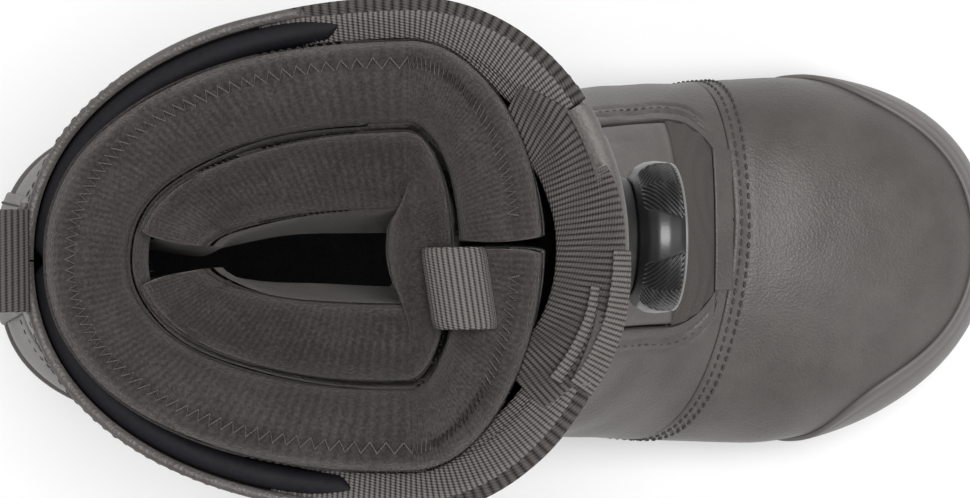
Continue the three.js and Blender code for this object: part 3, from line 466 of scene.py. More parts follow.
def piping(d):
    """Two grooves, that leave two rolled lines along an edge d mm away."""
    return -0.75 * np.exp(-(((d - 3.6) / 0.55) ** 2)) - 0.6 * np.exp(-(((d - 7.4) / 0.6) ** 2))


def flex(s, u):
    """Soft waves where the boot flexes, in mm."""
    wave = 0.3 * np.sin(s * 0.21 + u * 0.05) * np.sin(u * 0.11 + s * 0.03)
    return wave + 0.12 * np.sin(s * 0.6 + u * 0.17)


def vamp_lift(p, q):
    s, u = vamp_way(p, q)
    return 0.5 * flex(s * 0.5, u * 0.6) - 0.5 * np.exp(-(((1 - p) * 118 - 3.2) / 1.1) ** 2)


skin("vamp", lambda p, q: on_last(*vamp_way(p, q)), (120, 190), (90, 110), SHELL_THICKNESS, "shell",
     SHELL_LEATHER, base=-SHELL_THICKNESS, edge=0.9, lift=vamp_lift, nodes=["vamp"])
for side_name, side in SIDES.items():
    def on_quarter(p, q):
        s, u = quarter_way(side, p, q)
        return on_last(s, side * u)

    def quarter_lift(p, q):
        s, u = quarter_way(side, p, q)
        return piping(u - throat_edge(s)) * ease((s - THROAT_START) / 3) + flex(s, u * side)

    def on_cuff(p, q):
        s, u = collar_way(side, p, q)
        return on_last(s, side * u)

    def cuff_lift(p, q):
        s, u = collar_way(side, p, q)
        return piping(u - TONGUE_HALF - TONGUE_GAP) + 0.6 * flex(s, u * side)

    skin("quarter_" + side_name, on_quarter, (150, 130), (110, 110), SHELL_THICKNESS, "shell",
         SHELL_LEATHER, base=-SHELL_THICKNESS, edge=1.1, lift=quarter_lift,
         nodes=["quarter_" + side_name])
    skin("cuff_" + side_name, on_cuff, (135, 140), (60, 110), SHELL_THICKNESS, "shell",
         SHELL_LEATHER, base=-SHELL_THICKNESS, edge=1.1, lift=cuff_lift,
         nodes=["cuff_" + side_name])


# ---------------------------------------------------------------- stitching of the shell
# Bold waxed thread, lock-stitched in a double row behind the vamp's seam and in single rows elsewhere. Each
# stitch lies in a slight hollow that its own tension pulls in the leather.
def thread_material(name, low, high):
    made, tree, shader = new_material(name, low, 0.6, Specular_IOR_Level=0.3)
    where = object_coordinates(tree)
    twist = texture(tree, "ShaderNodeTexWave", where, Scale=700.0, Distortion=6.0, Detail=1.0)
    tint(tree, shader, twist.outputs["Fac"], low, high)
    bump(tree, shader, twist.outputs["Fac"], 0.0001, 0.7)
    return made


SHELL_THREAD = thread_material("waxed_thread", (0.03, 0.027, 0.026), (0.1, 0.093, 0.088))


def input_value(tree, modifier, name, value):
    """Sets a modifier's input by the name of its socket."""
    for item in tree.interface.items_tree:
        if item.item_type == "SOCKET" and item.in_out == "INPUT" and item.name == name:
            modifier[item.identifier] = value


def node_input(tree, name, kind, value=None):
    made = tree.interface.new_socket(name=name, in_out="INPUT", socket_type=kind)
    if value is not None:
        made.default_value = value


def stitch_tree():
    """Geometry nodes that lay a stitch at each step along the edges of a mesh, square to its normals."""
    tree = bpy.data.node_groups.new("stitches", "GeometryNodeTree")
    node_input(tree, "Line", "NodeSocketGeometry")
    node_input(tree, "Pitch", "NodeSocketFloat", 0.0024)
    node_input(tree, "Length", "NodeSocketFloat", 0.0018)
    node_input(tree, "Width", "NodeSocketFloat", 0.0007)
    node_input(tree, "Seed", "NodeSocketInt", 3)
    node_input(tree, "Thread", "NodeSocketMaterial")
    tree.interface.new_socket(name="Stitches", in_out="OUTPUT", socket_type="NodeSocketGeometry")
    new, link = tree.nodes.new, tree.links.new
    given, result = new("NodeGroupInput"), new("NodeGroupOutput")
    curve = new("GeometryNodeMeshToCurve")
    steps = new("GeometryNodeResampleCurve")
    steps.mode = "LENGTH"
    bead = new("GeometryNodeMeshUVSphere")
    bead.inputs["Segments"].default_value = 8
    bead.inputs["Rings"].default_value = 6
    bead.inputs["Radius"].default_value = 0.5
    shape = new("ShaderNodeCombineXYZ")
    sized = new("GeometryNodeTransform")
    tangent = new("GeometryNodeInputTangent")
    out = new("GeometryNodeInputNamedAttribute")
    out.data_type = "FLOAT_VECTOR"
    out.inputs["Name"].default_value = "out"
    turn = new("FunctionNodeAxesToRotation")
    turn.primary_axis, turn.secondary_axis = "Z", "X"
    vary = new("FunctionNodeRandomValue")
    vary.data_type = "FLOAT_VECTOR"
    vary.inputs[0].default_value = (0.88, 0.88, 0.88)
    vary.inputs[1].default_value = (1.08, 1.08, 1.08)
    place = new("GeometryNodeInstanceOnPoints")
    real, paint = new("GeometryNodeRealizeInstances"), new("GeometryNodeSetMaterial")
    link(given.outputs["Line"], curve.inputs["Mesh"])
    link(curve.outputs["Curve"], steps.inputs["Curve"])
    link(given.outputs["Pitch"], steps.inputs["Length"])
    link(given.outputs["Length"], shape.inputs["X"])
    link(given.outputs["Width"], shape.inputs["Y"])
    link(given.outputs["Width"], shape.inputs["Z"])
    link(bead.outputs["Mesh"], sized.inputs["Geometry"])
    link(shape.outputs["Vector"], sized.inputs["Scale"])
    link(out.outputs["Attribute"], turn.inputs["Primary Axis"])
    link(tangent.outputs["Tangent"], turn.inputs["Secondary Axis"])
    link(given.outputs["Seed"], vary.inputs["Seed"])
    link(steps.outputs["Curve"], place.inputs["Points"])
    link(sized.outputs["Geometry"], place.inputs["Instance"])
    link(turn.outputs["Rotation"], place.inputs["Rotation"])
    link(vary.outputs[0], place.inputs["Scale"])
    link(place.outputs["Instances"], real.inputs["Geometry"])
    link(real.outputs["Geometry"], paint.inputs["Geometry"])
    link(given.outputs["Thread"], paint.inputs["Material"])
    link(paint.outputs["Geometry"], result.inputs["Stitches"])
    return tree


STITCHES = stitch_tree()


def grown_from(name, source, tree, body, slot, material, **inputs):
    """Runs a node tree on a mesh, and keeps what it makes as a plain mesh in place of the source."""
    modifier = source.modifiers.new("nodes", "NODES")
    modifier.node_group = tree
    for key, value in inputs.items():
        input_value(tree, modifier, key.replace("_", " "), value)
    source.data.update()
    bpy.context.view_layer.update()
    graph = bpy.context.evaluated_depsgraph_get()
    mesh = bpy.data.meshes.new_from_object(source.evaluated_get(graph))
    source.modifiers.remove(modifier)
    bpy.data.objects.remove(source)
    mesh.name = name
    mesh.shade_smooth()
    mesh.materials.clear()
    mesh.materials.append(material)
    made = bpy.data.objects.new(name, mesh)
    bpy.context.scene.collection.objects.link(made)
    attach(made, body)
    return made


def rows_of_stitches(name, lines, body, slot, material, pitch=2.4, length=1.85, width=0.75):
    """Stitches along lines, each a pair of points and outward normals, in millimetres."""
    points, edges, normals = [], [], []
    for line, out in lines:
        first = sum(len(p) for p in points)
        points.append((line + SHIFT) * MM)
        normals.append(out)
        edges += [(first + k, first + k + 1) for k in range(len(line) - 1)]
    mesh = bpy.data.meshes.new(name + "_line")
    mesh.from_pydata(np.concatenate(points).tolist(), edges, [])
    layer = mesh.attributes.new("out", "FLOAT_VECTOR", "POINT")
    layer.data.foreach_set("vector", np.concatenate(normals).ravel())
    source = bpy.data.objects.new(name + "_line", mesh)
    bpy.context.scene.collection.objects.link(source)
    return grown_from(name, source, STITCHES, body, slot, material, Pitch=pitch * MM, Length=length * MM,
                      Width=width * MM, Thread=material)


def line_on_last(s, u, height=0.0):
    """A line over the last through stations s at distances u, and its normals."""
    points = on_last(s, u)
    n = outward(points)
    return points + n * height, n


# A leather bridge covers the join of the quarters ahead of the throat.
def on_bridge(p, q):
    s = mix(VAMP_SEAM + 0.3, THROAT_START + 0.4, p)
    return on_last(s, 21.0 * (2 * q - 1))


skin("throat_bridge", on_bridge, (5, 42), (16, 60), 0.55, "shell", SHELL_LEATHER, base=-0.1,
     edge=0.5)
seam_share = np.linspace(-0.985, 0.985, 420)
seam_lines = []
for inset in (1.7, 3.9):
    s = vamp_seam(seam_share) - SEAM_GAP - inset
    u = seam_share * outer_girth(s, np.where(seam_share < 0, -1.0, 1.0))
    seam_lines.append(line_on_last(s, u, 0.05))
shell_lines = []
STITCH_INSET, STITCH_DROP = 5.4, 4.5
throat_s = np.linspace(THROAT_START + 4, CUFF_SEAM - 2, 160)
cuff_s = np.linspace(CUFF_SEAM + 2, float(collar_station(np.array(0.0))) - 3, 200)
for side in SIDES.values():
    shell_lines.append(line_on_last(throat_s, side * (throat_edge(throat_s) + STITCH_INSET), -0.1))
    shell_lines.append(line_on_last(cuff_s, side * (TONGUE_HALF + TONGUE_GAP + STITCH_INSET), -0.1))
    f = np.linspace(0.02, 0.985, 260)
    top_s = collar_station(f) - STITCH_DROP
    shell_lines.append(line_on_last(top_s, side * across_collar(top_s, side, f), 0.05))
    for level in (CUFF_SEAM + 2.2, CUFF_SEAM - 2.6):
        level_s = np.full(f.shape, level)
        u = mix(TONGUE_HALF + TONGUE_GAP + 1, outer_girth(level_s, side) - 1, f)
        shell_lines.append(line_on_last(level_s, side * u, 0.05))
rows_of_stitches("vamp_stitches", seam_lines, "shell", "shell_leather", SHELL_THREAD, pitch=2.9, width=0.95,
                 length=2.1)
rows_of_stitches("shell_stitches", shell_lines, "shell", "shell_leather", SHELL_THREAD, pitch=2.8)


# ---------------------------------------------------------------- liner
# A bootie of heat-mouldable foam, faced with brushed knit and thickest round the leg, and a separate padded
# tongue that wraps inside it. Both are moulded and edge-rolled, and the bootie is zigzag-stitched along a
# groove in its brim.
LINER_FLOOR = 26.6
LINER_TOP = 292.0
LINER_COLLAR_ROOM, LINER_FRONT_ROOM = 9.5, 18.0
LINER_FOOT_WALL, LINER_CUFF_WALL, LINER_TONGUE_WALL = 6.0, 17.6, 14.0
LINER_SLIP, TOE_ROOM, TONGUE_THICKNESS, GUIDE_THICKNESS = 1.6, 2.0, 5.0, 2.0
CUFF_FROM, CUFF_FULL = 70.0, 165.0


def fullness(s):
    return ease((s - CUFF_FROM) / (CUFF_FULL - CUFF_FROM))


def liner_outside(s):
    slip = SHELL_THICKNESS + LINER_SLIP + TOE_ROOM * ease((-30 - s) / 36)
    under_tongue = slip + (TONGUE_THICKNESS + 0.5) * ease((s + 10) / 20)
    side = slip + GUIDE_THICKNESS * ease(s / 40)
    full = fullness(s)
    over_collar = 5.0 * ease((s - height_station(LINER_TOP) + 17) / 12)
    return [mix(under_tongue, LINER_FRONT_ROOM, full), mix(side, LINER_COLLAR_ROOM, full),
            mix(slip, LINER_COLLAR_ROOM, full) - over_collar]


def deeper(insets, *extra):
    return [inset + more for inset, more in zip(insets, extra)]


def floored(points, floor):
    """Points no lower than a floor."""
    points = points.copy()
    points[..., 2] = np.maximum(points[..., 2], floor)
    return points


def pillow(name, stations, columns, span, outside, inside, brim, body, material, crown=2.6, floor=0.0,
           relief=None, nodes=(), closed_low=True):
    """A padded piece between two insets of the last: rounded over its brim and down both of its ends.
    span(s) gives its first and last turn, brim the height of its rounded top."""
    top = stations[-1]
    lift = np.linspace(0, math.pi / 2, 15)[1:]
    s = np.concatenate([stations[:-1], [top - brim], top - brim * (1 - np.sin(lift) ** (2 / crown))])
    thick = np.concatenate([np.ones(len(stations)), np.cos(lift) ** (2 / crown)])
    if closed_low:
        low = np.linspace(0, math.pi / 2, 8)[:-1]
        s = np.concatenate([stations[0] + 4 * (1 - np.cos(low)) - 4, s])
        thick = np.concatenate([np.sin(low), thick])
    end = np.linspace(0, math.pi / 2, 9)
    ends = np.concatenate([1 - np.cos(end), np.linspace(1, columns - 1, columns)[1:-1],
                           columns - 1 + np.cos(end[::-1])])
    share = ends / columns
    round_ends = np.sqrt(np.clip(1 - (1 - np.clip(np.minimum(ends, columns - ends), 0, 1)) ** 2, 0, 1))
    first, last = span(s)
    turn = mix(first[:, None], last[:, None], share[None])
    s2 = np.broadcast_to(s[:, None], turn.shape)
    out, into = outside(s2), inside(s2)
    half = thick[:, None] * round_ends[None]
    skins = []
    for sign in (1, -1):
        insets = [mix((a + b) / 2, a if sign > 0 else b, half) for a, b in zip(out, into)]
        points = section_point(s2, turn, 1.0, insets)
        if relief is not None:
            depth = (1 - sign * half) / 2
            points = points + relief(s2, turn, depth, thick[:, None])
        skins.append(floored(points, floor) if floor else points)
    points, faces = two_skins(*skins)
    step = np.linalg.norm(np.diff(skins[0], axis=0), axis=2)
    along = np.concatenate([np.zeros((1, turn.shape[1])), np.cumsum(step, axis=0)])
    uv = np.stack([along, turn * 45.0], -1).reshape(-1, 2)
    return mesh_piece(name, points, faces, material, body, np.concatenate([uv, uv]), nodes)


def brushed_knit(name, low, high):
    made, tree, shader = new_material(name, low, 0.95, Specular_IOR_Level=0.12)
    shader.inputs["Sheen Weight"].default_value = 0.4
    shader.inputs["Sheen Roughness"].default_value = 0.45
    shader.inputs["Sheen Tint"].default_value = (0.6, 0.57, 0.55, 1)
    where = object_coordinates(tree)
    split = tree.nodes.new("ShaderNodeSeparateXYZ")
    tree.links.new(cut_coordinates(tree), split.inputs[0])
    wale = math_node(tree, "SINE", math_node(tree, "MULTIPLY", split.outputs["Y"], 2 * math.pi / 1.5))
    cloud = texture(tree, "ShaderNodeTexNoise", where, Scale=70.0, Detail=6.0, Roughness=0.65)
    fuzz = texture(tree, "ShaderNodeTexNoise", where, Scale=1500.0, Detail=4.0, Roughness=0.7)
    nap = texture(tree, "ShaderNodeTexNoise", where, Scale=420.0, Detail=3.0, Distortion=1.6)
    ribbing = math_node(tree, "MULTIPLY_ADD", wale, 0.16, -0.35)
    spread = math_node(tree, "MULTIPLY_ADD", cloud.outputs["Fac"], 1.1, ribbing)
    speckle = math_node(tree, "MULTIPLY_ADD", fuzz.outputs["Fac"], 2.4, -1.05)
    tint(tree, shader, math_node(tree, "ADD", spread, speckle), low, high)
    under = bump(tree, shader, nap.outputs["Fac"], 0.0006, 0.6)
    bump(tree, shader, fuzz.outputs["Fac"], 0.0003, 0.8, under)
    return made


LINER_KNIT = brushed_knit("brushed_knit", (0.03, 0.026, 0.025), (0.075, 0.066, 0.065))
RIM_KNIT = brushed_knit("brim_knit", (0.036, 0.032, 0.031), (0.082, 0.073, 0.07))


def brim_relief(s, turn, depth, thick):
    """A rolled outer edge with a groove inside it, and the soft unevenness of foam."""
    across = depth * LINER_CUFF_WALL
    on_top = ease((s - height_station(LINER_TOP) + 9) / 7)
    groove = -1.5 * np.exp(-(((across - 5.6) / 0.8) ** 2)) + 0.7 * np.exp(-(((across - 2.6) / 2.0) ** 2))
    wave = 0.35 * np.sin(turn * 7 + 1) * np.sin(across * 0.35 + turn * 3)
    wave += 0.2 * np.sin(turn * 17 + across * 0.5)
    rise = on_top * (groove + wave)
    side = 0.35 * np.sin(turn * 9 + s * 0.08) * np.sin(s * 0.11)
    return np.stack([side * 0, side, rise], -1)


def liner_inside(s):
    wall = mix(LINER_FOOT_WALL, LINER_CUFF_WALL, fullness(s))
    return deeper(liner_outside(s), wall, wall, wall)


def cuff_span(s):
    """From one edge of the slit down the shin, round the back, to the other edge."""
    slit = mix(0.012, 0.022, ease((s - 30) / 60))
    return slit, 2 * math.pi - slit


LINER_BRIM = 9.0
liner_stations = np.concatenate([[-66.0], np.linspace(-62, 90, 62),
                                 np.linspace(94, height_station(LINER_TOP), 34)])
pillow("liner_body", liner_stations, 260, cuff_span, liner_outside, liner_inside, LINER_BRIM, "shell",
       RIM_KNIT, crown=2.1, floor=LINER_FLOOR, relief=brim_relief, nodes=["liner_body"])


def liner_tongue_outside(s):
    return deeper(liner_inside(s), 1.6, 1.4, 1.4)


def liner_tongue_inside(s):
    wall = mix(LINER_FOOT_WALL, LINER_TONGUE_WALL, fullness(s))
    side = wall + 2.4 * fullness(s)
    return deeper(liner_tongue_outside(s), wall, side, wall)


def tongue_span(s):
    half = mix(0.9, 2.98, ease((s - 45) / 90))
    return -half, half


def soft_relief(s, turn, depth, thick):
    wave = 0.5 * np.sin(turn * 3.1 + s * 0.05) + 0.3 * np.sin(turn * 8 + depth * 4)
    on_top = ease((s - height_station(LINER_TOP) + 12) / 8)
    return np.stack([0 * wave, 0.6 * wave * (1 - on_top), on_top * (wave - 1.6 * np.abs(depth - 0.5))], -1)


tongue_stations = np.concatenate([[42.0], np.linspace(46, 90, 16),
                                  np.linspace(94, height_station(LINER_TOP - 2), 34)])
pillow("liner_tongue", tongue_stations, 190, tongue_span, liner_tongue_outside, liner_tongue_inside,
       LINER_BRIM, "shell", LINER_KNIT, crown=2.0, relief=soft_relief,
       nodes=["liner_tongue"])


def closed_rows(rows, around):
    """Faces between rows of points, each row a closed ring."""
    i, j = np.meshgrid(np.arange(rows - 1), np.arange(around), indexing="ij")
    k = (j + 1) % around
    faces = [i * around + j, i * around + k, (i + 1) * around + k, (i + 1) * around + j]
    return np.stack(faces, -1).reshape(-1, 4)


def tube(points, radius, sides=6):
    """Points and faces of a thread of round section along a line, with closed ends."""
    along = np.gradient(points, axis=0)
    along /= np.maximum(np.linalg.norm(along, axis=1, keepdims=True), 1e-9)
    up = np.where(np.abs(along[:, 2:]) > 0.9, [1.0, 0, 0], [0.0, 0, 1.0])
    across = np.cross(along, up)
    across /= np.linalg.norm(across, axis=1, keepdims=True)
    rise = np.cross(across, along)
    a = np.linspace(0, 2 * math.pi, sides, endpoint=False)
    ring = np.cos(a)[None, :, None] * across[:, None] + np.sin(a)[None, :, None] * rise[:, None]
    rings = points[:, None] + radius * ring
    n = len(points)
    vertices = np.concatenate([rings.reshape(-1, 3), points[:1], points[-1:]])
    b = np.arange(sides)
    c = (b + 1) % sides
    first = np.stack([np.full(sides, n * sides), c, b, np.full(sides, n * sides)], 1)
    end = (n - 1) * sides
    last = np.stack([np.full(sides, n * sides + 1), end + b, end + c, np.full(sides, n * sides + 1)], 1)
    return vertices, np.concatenate([closed_rows(n, sides), first, last])


# Zigzag thread lies in the groove of the liner's brim.
brim_turn = np.linspace(0.16, 2 * math.pi - 0.16, 281)
brim_s = np.full(brim_turn.shape, height_station(LINER_TOP))
zigzag = []
for k, inset in enumerate((4.5, 6.9)):
    insets = deeper(liner_outside(brim_s), inset, inset, inset)
    zigzag.append(section_point(brim_s, brim_turn, 1.0, insets) + (0, 0, -0.55))
zigzag_points = np.where((np.arange(281) % 2 == 0)[:, None], zigzag[0], zigzag[1])
zigzag_mesh = tube(zigzag_points, 0.3)
LINER_THREAD = thread_material("liner_thread", (0.07, 0.064, 0.062), (0.13, 0.12, 0.115))
mesh_piece("liner_zigzag", zigzag_mesh[0], zigzag_mesh[1], LINER_THREAD, "shell")


def fuzz_tree():
    """Geometry nodes that grow short bent fibres out of a mesh."""
    tree = bpy.data.node_groups.new("fuzz", "GeometryNodeTree")
    node_input(tree, "Cloth", "NodeSocketGeometry")
    node_input(tree, "Density", "NodeSocketFloat", 400000.0)
    node_input(tree, "Length", "NodeSocketFloat", 0.0012)
    node_input(tree, "Radius", "NodeSocketFloat", 0.00004)
    node_input(tree, "Seed", "NodeSocketInt", 5)
    node_input(tree, "Fibre", "NodeSocketMaterial")
    tree.interface.new_socket(name="Fibres", in_out="OUTPUT", socket_type="NodeSocketGeometry")
    new, link = tree.nodes.new, tree.links.new
    given, result = new("NodeGroupInput"), new("NodeGroupOutput")
    scatter = new("GeometryNodeDistributePointsOnFaces")
    bend = new("GeometryNodeCurveQuadraticBezier")
    bend.inputs["Resolution"].default_value = 3
    middle, tip = new("ShaderNodeCombineXYZ"), new("ShaderNodeCombineXYZ")
    half = new("ShaderNodeMath")
    half.operation = "MULTIPLY"
    half.inputs[1].default_value = 0.5
    profile = new("GeometryNodeCurvePrimitiveCircle")
    profile.inputs["Resolution"].default_value = 3
    strand = new("GeometryNodeCurveToMesh")
    spin, both = new("FunctionNodeRandomValue"), new("FunctionNodeRandomValue")
    both.data_type = "FLOAT_VECTOR"
    both.inputs[0].default_value = (-0.55, -0.55, -3.14)
    both.inputs[1].default_value = (0.55, 0.55, 3.14)
    turn = new("FunctionNodeEulerToRotation")
    join = new("FunctionNodeRotateRotation")
    join.rotation_space = "LOCAL"
    place = new("GeometryNodeInstanceOnPoints")
    real, paint = new("GeometryNodeRealizeInstances"), new("GeometryNodeSetMaterial")
    spin.inputs[2].default_value = 0.5
    spin.inputs[3].default_value = 1.3
    link(given.outputs["Cloth"], scatter.inputs["Mesh"])
    link(given.outputs["Density"], scatter.inputs["Density"])
    link(given.outputs["Seed"], scatter.inputs["Seed"])
    link(given.outputs["Length"], half.inputs[0])
    link(half.outputs[0], middle.inputs["Z"])
    link(half.outputs[0], tip.inputs["X"])
    link(given.outputs["Length"], tip.inputs["Z"])
    link(middle.outputs["Vector"], bend.inputs["Middle"])
    link(tip.outputs["Vector"], bend.inputs["End"])
    bend.inputs["Start"].default_value = (0, 0, 0)
    link(given.outputs["Radius"], profile.inputs["Radius"])
    link(bend.outputs["Curve"], strand.inputs["Curve"])
    link(profile.outputs["Curve"], strand.inputs["Profile Curve"])
    link(given.outputs["Seed"], both.inputs["Seed"])
    link(both.outputs[0], turn.inputs["Euler"])
    link(scatter.outputs["Rotation"], join.inputs["Rotation"])
    link(turn.outputs["Rotation"], join.inputs["Rotate By"])
    link(scatter.outputs["Points"], place.inputs["Points"])
    link(strand.outputs["Mesh"], place.inputs["Instance"])
    link(join.outputs["Rotation"], place.inputs["Rotation"])
    link(spin.outputs[1], place.inputs["Scale"])
    link(place.outputs["Instances"], real.inputs["Geometry"])
    link(real.outputs["Geometry"], paint.inputs["Geometry"])
    link(given.outputs["Fibre"], paint.inputs["Material"])
    link(paint.outputs["Geometry"], result.inputs["Fibres"])
    return tree


FUZZ = fuzz_tree()
FIBRE = new_material("knit_fibre", (0.075, 0.067, 0.065), 0.9, Specular_IOR_Level=0.1)[0]


def fuzz(name, source_name, lowest, count, length, body):
    """Fibres on the part of a CAD solid above a height, in metres."""
    mesh = bpy.data.objects[source_name].data.copy()
    tool = bmesh.new()
    tool.from_mesh(mesh)
    low = [face for face in tool.faces if face.calc_center_median().z < lowest or face.normal.z < 0.05]
    bmesh.ops.delete(tool, geom=low, context="FACES")
    area = sum(face.calc_area() for face in tool.faces)
    tool.to_mesh(mesh)
    tool.free()
    source = bpy.data.objects.new(name + "_cloth", mesh)
    bpy.context.scene.collection.objects.link(source)
    grown_from(name, source, FUZZ, body, "liner_fabric", FIBRE, Density=count / area, Length=length,
               Fibre=FIBRE)


fuzz("liner_body_fuzz", "liner_body", 0.268, 9000, 0.0008, "shell")
fuzz("liner_tongue_fuzz", "liner_tongue", 0.262, 8000, 0.0009, "shell")


# ---------------------------------------------------------------- tongue of the shell
# A padded leather tongue fills the throat. It is sewn in at its lower end, where it folds, and a stretch
# gore closes the gap ahead of the fold.
def on_tongue(p, q):
    s = mix(TONGUE_FOLD, height_station(TONGUE_TOP), p)
    return on_last(s, (2 * q - 1) * (throat_half(s) + 0.8))


def tongue_lift(p, q):
    s = mix(TONGUE_FOLD, height_station(TONGUE_TOP), p)
    u = (2 * q - 1) * throat_half(s)
    roll = 0.9 * np.exp(-(((s - TONGUE_FOLD - 3) / 2.2) ** 2))
    groove = 0.5 * np.exp(-(((np.abs(u) - 24) / 0.7) ** 2)) * ease((s - 30) / 8)
    return roll + 0.5 * flex(s * 1.3, u) - groove


# The tongue takes the shell's leather made lighter, to lift the shade that falls in the throat's recess:
# painted light.
TONGUE_LEATHER_PAINTED_LIGHT = leather("tongue_leather_painted_light", (0.088, 0.081, 0.076), (0.155, 0.143, 0.136), 0.5)
shell_tongue = skin("shell_tongue", on_tongue, (190, 62), (170, 60), TONGUE_THICKNESS, "tongue",
                    TONGUE_LEATHER_PAINTED_LIGHT, base=-TONGUE_THICKNESS, edge=2.4, lift=tongue_lift,
                    nodes=["shell_tongue"])


def stretch_cloth(name, low, high, pitch=0.9):
    made, tree, shader = new_material(name, low, 0.85, Specular_IOR_Level=0.2)
    cut = cut_coordinates(tree)
    split = tree.nodes.new("ShaderNodeSeparateXYZ")
    tree.links.new(cut, split.inputs[0])
    waves = []
    for axis in ("X", "Y"):
        angle = math_node(tree, "MULTIPLY", split.outputs[axis], 2 * math.pi / pitch)
        waves.append(math_node(tree, "SINE", angle))
    weave = math_node(tree, "MULTIPLY", waves[0], waves[1])
    lint = texture(tree, "ShaderNodeTexNoise", cut, Scale=1.7, Detail=5.0)
    soft = math_node(tree, "MULTIPLY", lint.outputs["Fac"], 0.9)
    spread = math_node(tree, "MULTIPLY_ADD", weave, 0.35, soft)
    tint(tree, shader, spread, low, high)
    bump(tree, shader, weave, 0.0002, 0.7)
    return made


# The gore's cloth is lifted to a leather-like tone, lighter than its own, to offset the shade in its recess:
# painted light.
GORE_CLOTH_PAINTED_LIGHT = stretch_cloth("stretch_gore_cloth_painted_light", (0.075, 0.069, 0.065), (0.14, 0.13, 0.123), 0.5)
GORE_LOW, GORE_HIGH = THROAT_START + 0.3, TONGUE_FOLD + 0.6


def on_gore(p, q):
    s = mix(GORE_LOW, GORE_HIGH, p)
    return on_last(s, (2 * q - 1) * (throat_half(s) + 0.8))


def gore_lift(p, q):
    side = np.abs(2 * q - 1)
    wrinkle = np.sin(p * 19 + 5 * np.sin(q * 7)) * (0.25 + 0.75 * side**4)
    return 0.8 * np.sin(p * math.pi) + 0.5 * wrinkle


gore = skin("tongue_gore", on_gore, (13, 56), (40, 110), 0.8, "shell", GORE_CLOTH_PAINTED_LIGHT, base=-1.1,
            edge=0.5, lift=gore_lift, nodes=["tongue_gore"])


# ---------------------------------------------------------------- webbing straps and tapes
# Grosgrain tape with twisted-yarn ribs across its width. One wide tape covers the roll inside the tongue's
# top, narrower ones lie over each flap of the collar, and the pull loops are of the same webbing.
def ribbon(name, middle, across, body, material, thickness=1.5, pitch=1.24, rib=0.26, nodes=(),
           steps=7, twist=0.0):
    """A tape along a line of middles, with half widths as vectors across it. Its ribs are real relief."""
    step = np.linalg.norm(np.diff(middle, axis=0), axis=1)
    length = np.concatenate([[0], np.cumsum(step)])
    count = int(length[-1] / pitch * steps)
    t = np.linspace(0, length[-1], count)
    line = np.stack([np.interp(t, length, middle[:, k]) for k in range(3)], -1)
    wide = np.stack([np.interp(t, length, across[:, k]) for k in range(3)], -1)
    along = np.gradient(line, axis=0)
    n = np.cross(along, wide)
    n /= np.linalg.norm(n, axis=1, keepdims=True)
    half = np.linalg.norm(wide, axis=1).mean()
    v = np.concatenate([[-1, -1 + 0.12 / half, -1 + 0.45 / half],
                        np.linspace(-1 + 1 / half, 1 - 1 / half, 22),
                        [1 - 0.45 / half, 1 - 0.12 / half, 1]])
    edge = np.sqrt(np.clip(1 - (1 - np.clip((1 - np.abs(v)) * half / 0.8, 0, 1)) ** 2, 0, 1))
    shift = twist * v[None] * half
    phase = (t[:, None] + shift) / pitch
    bead = np.abs(np.sin(math.pi * phase)) ** 0.7
    yarn = 1 + 0.13 * np.sin(v[None] * half / 0.3 * math.pi + phase * 2.2)
    selvedge = 1 - 0.5 * ((1 - np.abs(v)) * half < 1.1)
    height = rib * (bead * yarn * selvedge[None] - 0.6)
    ends = np.clip(np.minimum(t, t[-1] - t) / 0.8, 0, 1)
    body_half = thickness / 2 * edge[None] * np.sqrt(1 - (1 - ends[:, None]) ** 2)
    base = line[:, None] + wide[:, None] * v[None, :, None]
    lift = (height * edge[None])[..., None] * n[:, None]
    top = base + n[:, None] * body_half[..., None] + lift
    low = base - n[:, None] * body_half[..., None] - lift * 0.9
    points, faces = two_skins(top, low)
    shape = body_half.shape
    uv = np.stack([np.broadcast_to(t[:, None], shape), np.broadcast_to(v * half, shape)], -1)
    uv = uv.reshape(-1, 2)
    return mesh_piece(name, points, faces, material, body, np.concatenate([uv, uv]), nodes)


def webbing(name, low, high, pitch=1.24):
    made, tree, shader = new_material(name, low, 0.72, Specular_IOR_Level=0.28)
    cut = cut_coordinates(tree)
    split = tree.nodes.new("ShaderNodeSeparateXYZ")
    tree.links.new(cut, split.inputs[0])
    rib = math_node(tree, "SINE", math_node(tree, "MULTIPLY", split.outputs["X"], math.pi / pitch))
    rib = math_node(tree, "ABSOLUTE", rib)
    slant = math_node(tree, "MULTIPLY", split.outputs["X"], 2.5)
    yarn = math_node(tree, "MULTIPLY_ADD", split.outputs["Y"], 10.5, slant)
    yarn = math_node(tree, "SINE", yarn)
    lint = texture(tree, "ShaderNodeTexNoise", cut, Scale=2.2, Detail=6.0, Roughness=0.7)
    spread = math_node(tree, "MULTIPLY_ADD", yarn, 0.1, math_node(tree, "MULTIPLY", rib, 0.8))
    spread = math_node(tree, "ADD", spread, math_node(tree, "MULTIPLY_ADD", lint.outputs["Fac"], 0.7, -0.35))
    tint(tree, shader, spread, low, high)
    bump(tree, shader, math_node(tree, "ADD", yarn, lint.outputs["Fac"]), 0.00012, 0.8)
    return made


WIDE_WEBBING = webbing("wide_webbing", (0.012, 0.011, 0.01), (0.15, 0.137, 0.13))
TAPE_WEBBING = webbing("tape_webbing", (0.02, 0.018, 0.017), (0.24, 0.225, 0.213), 1.1)
COARSE_WEBBING = webbing("coarse_webbing", (0.014, 0.013, 0.012), (0.12, 0.111, 0.106), 1.9)


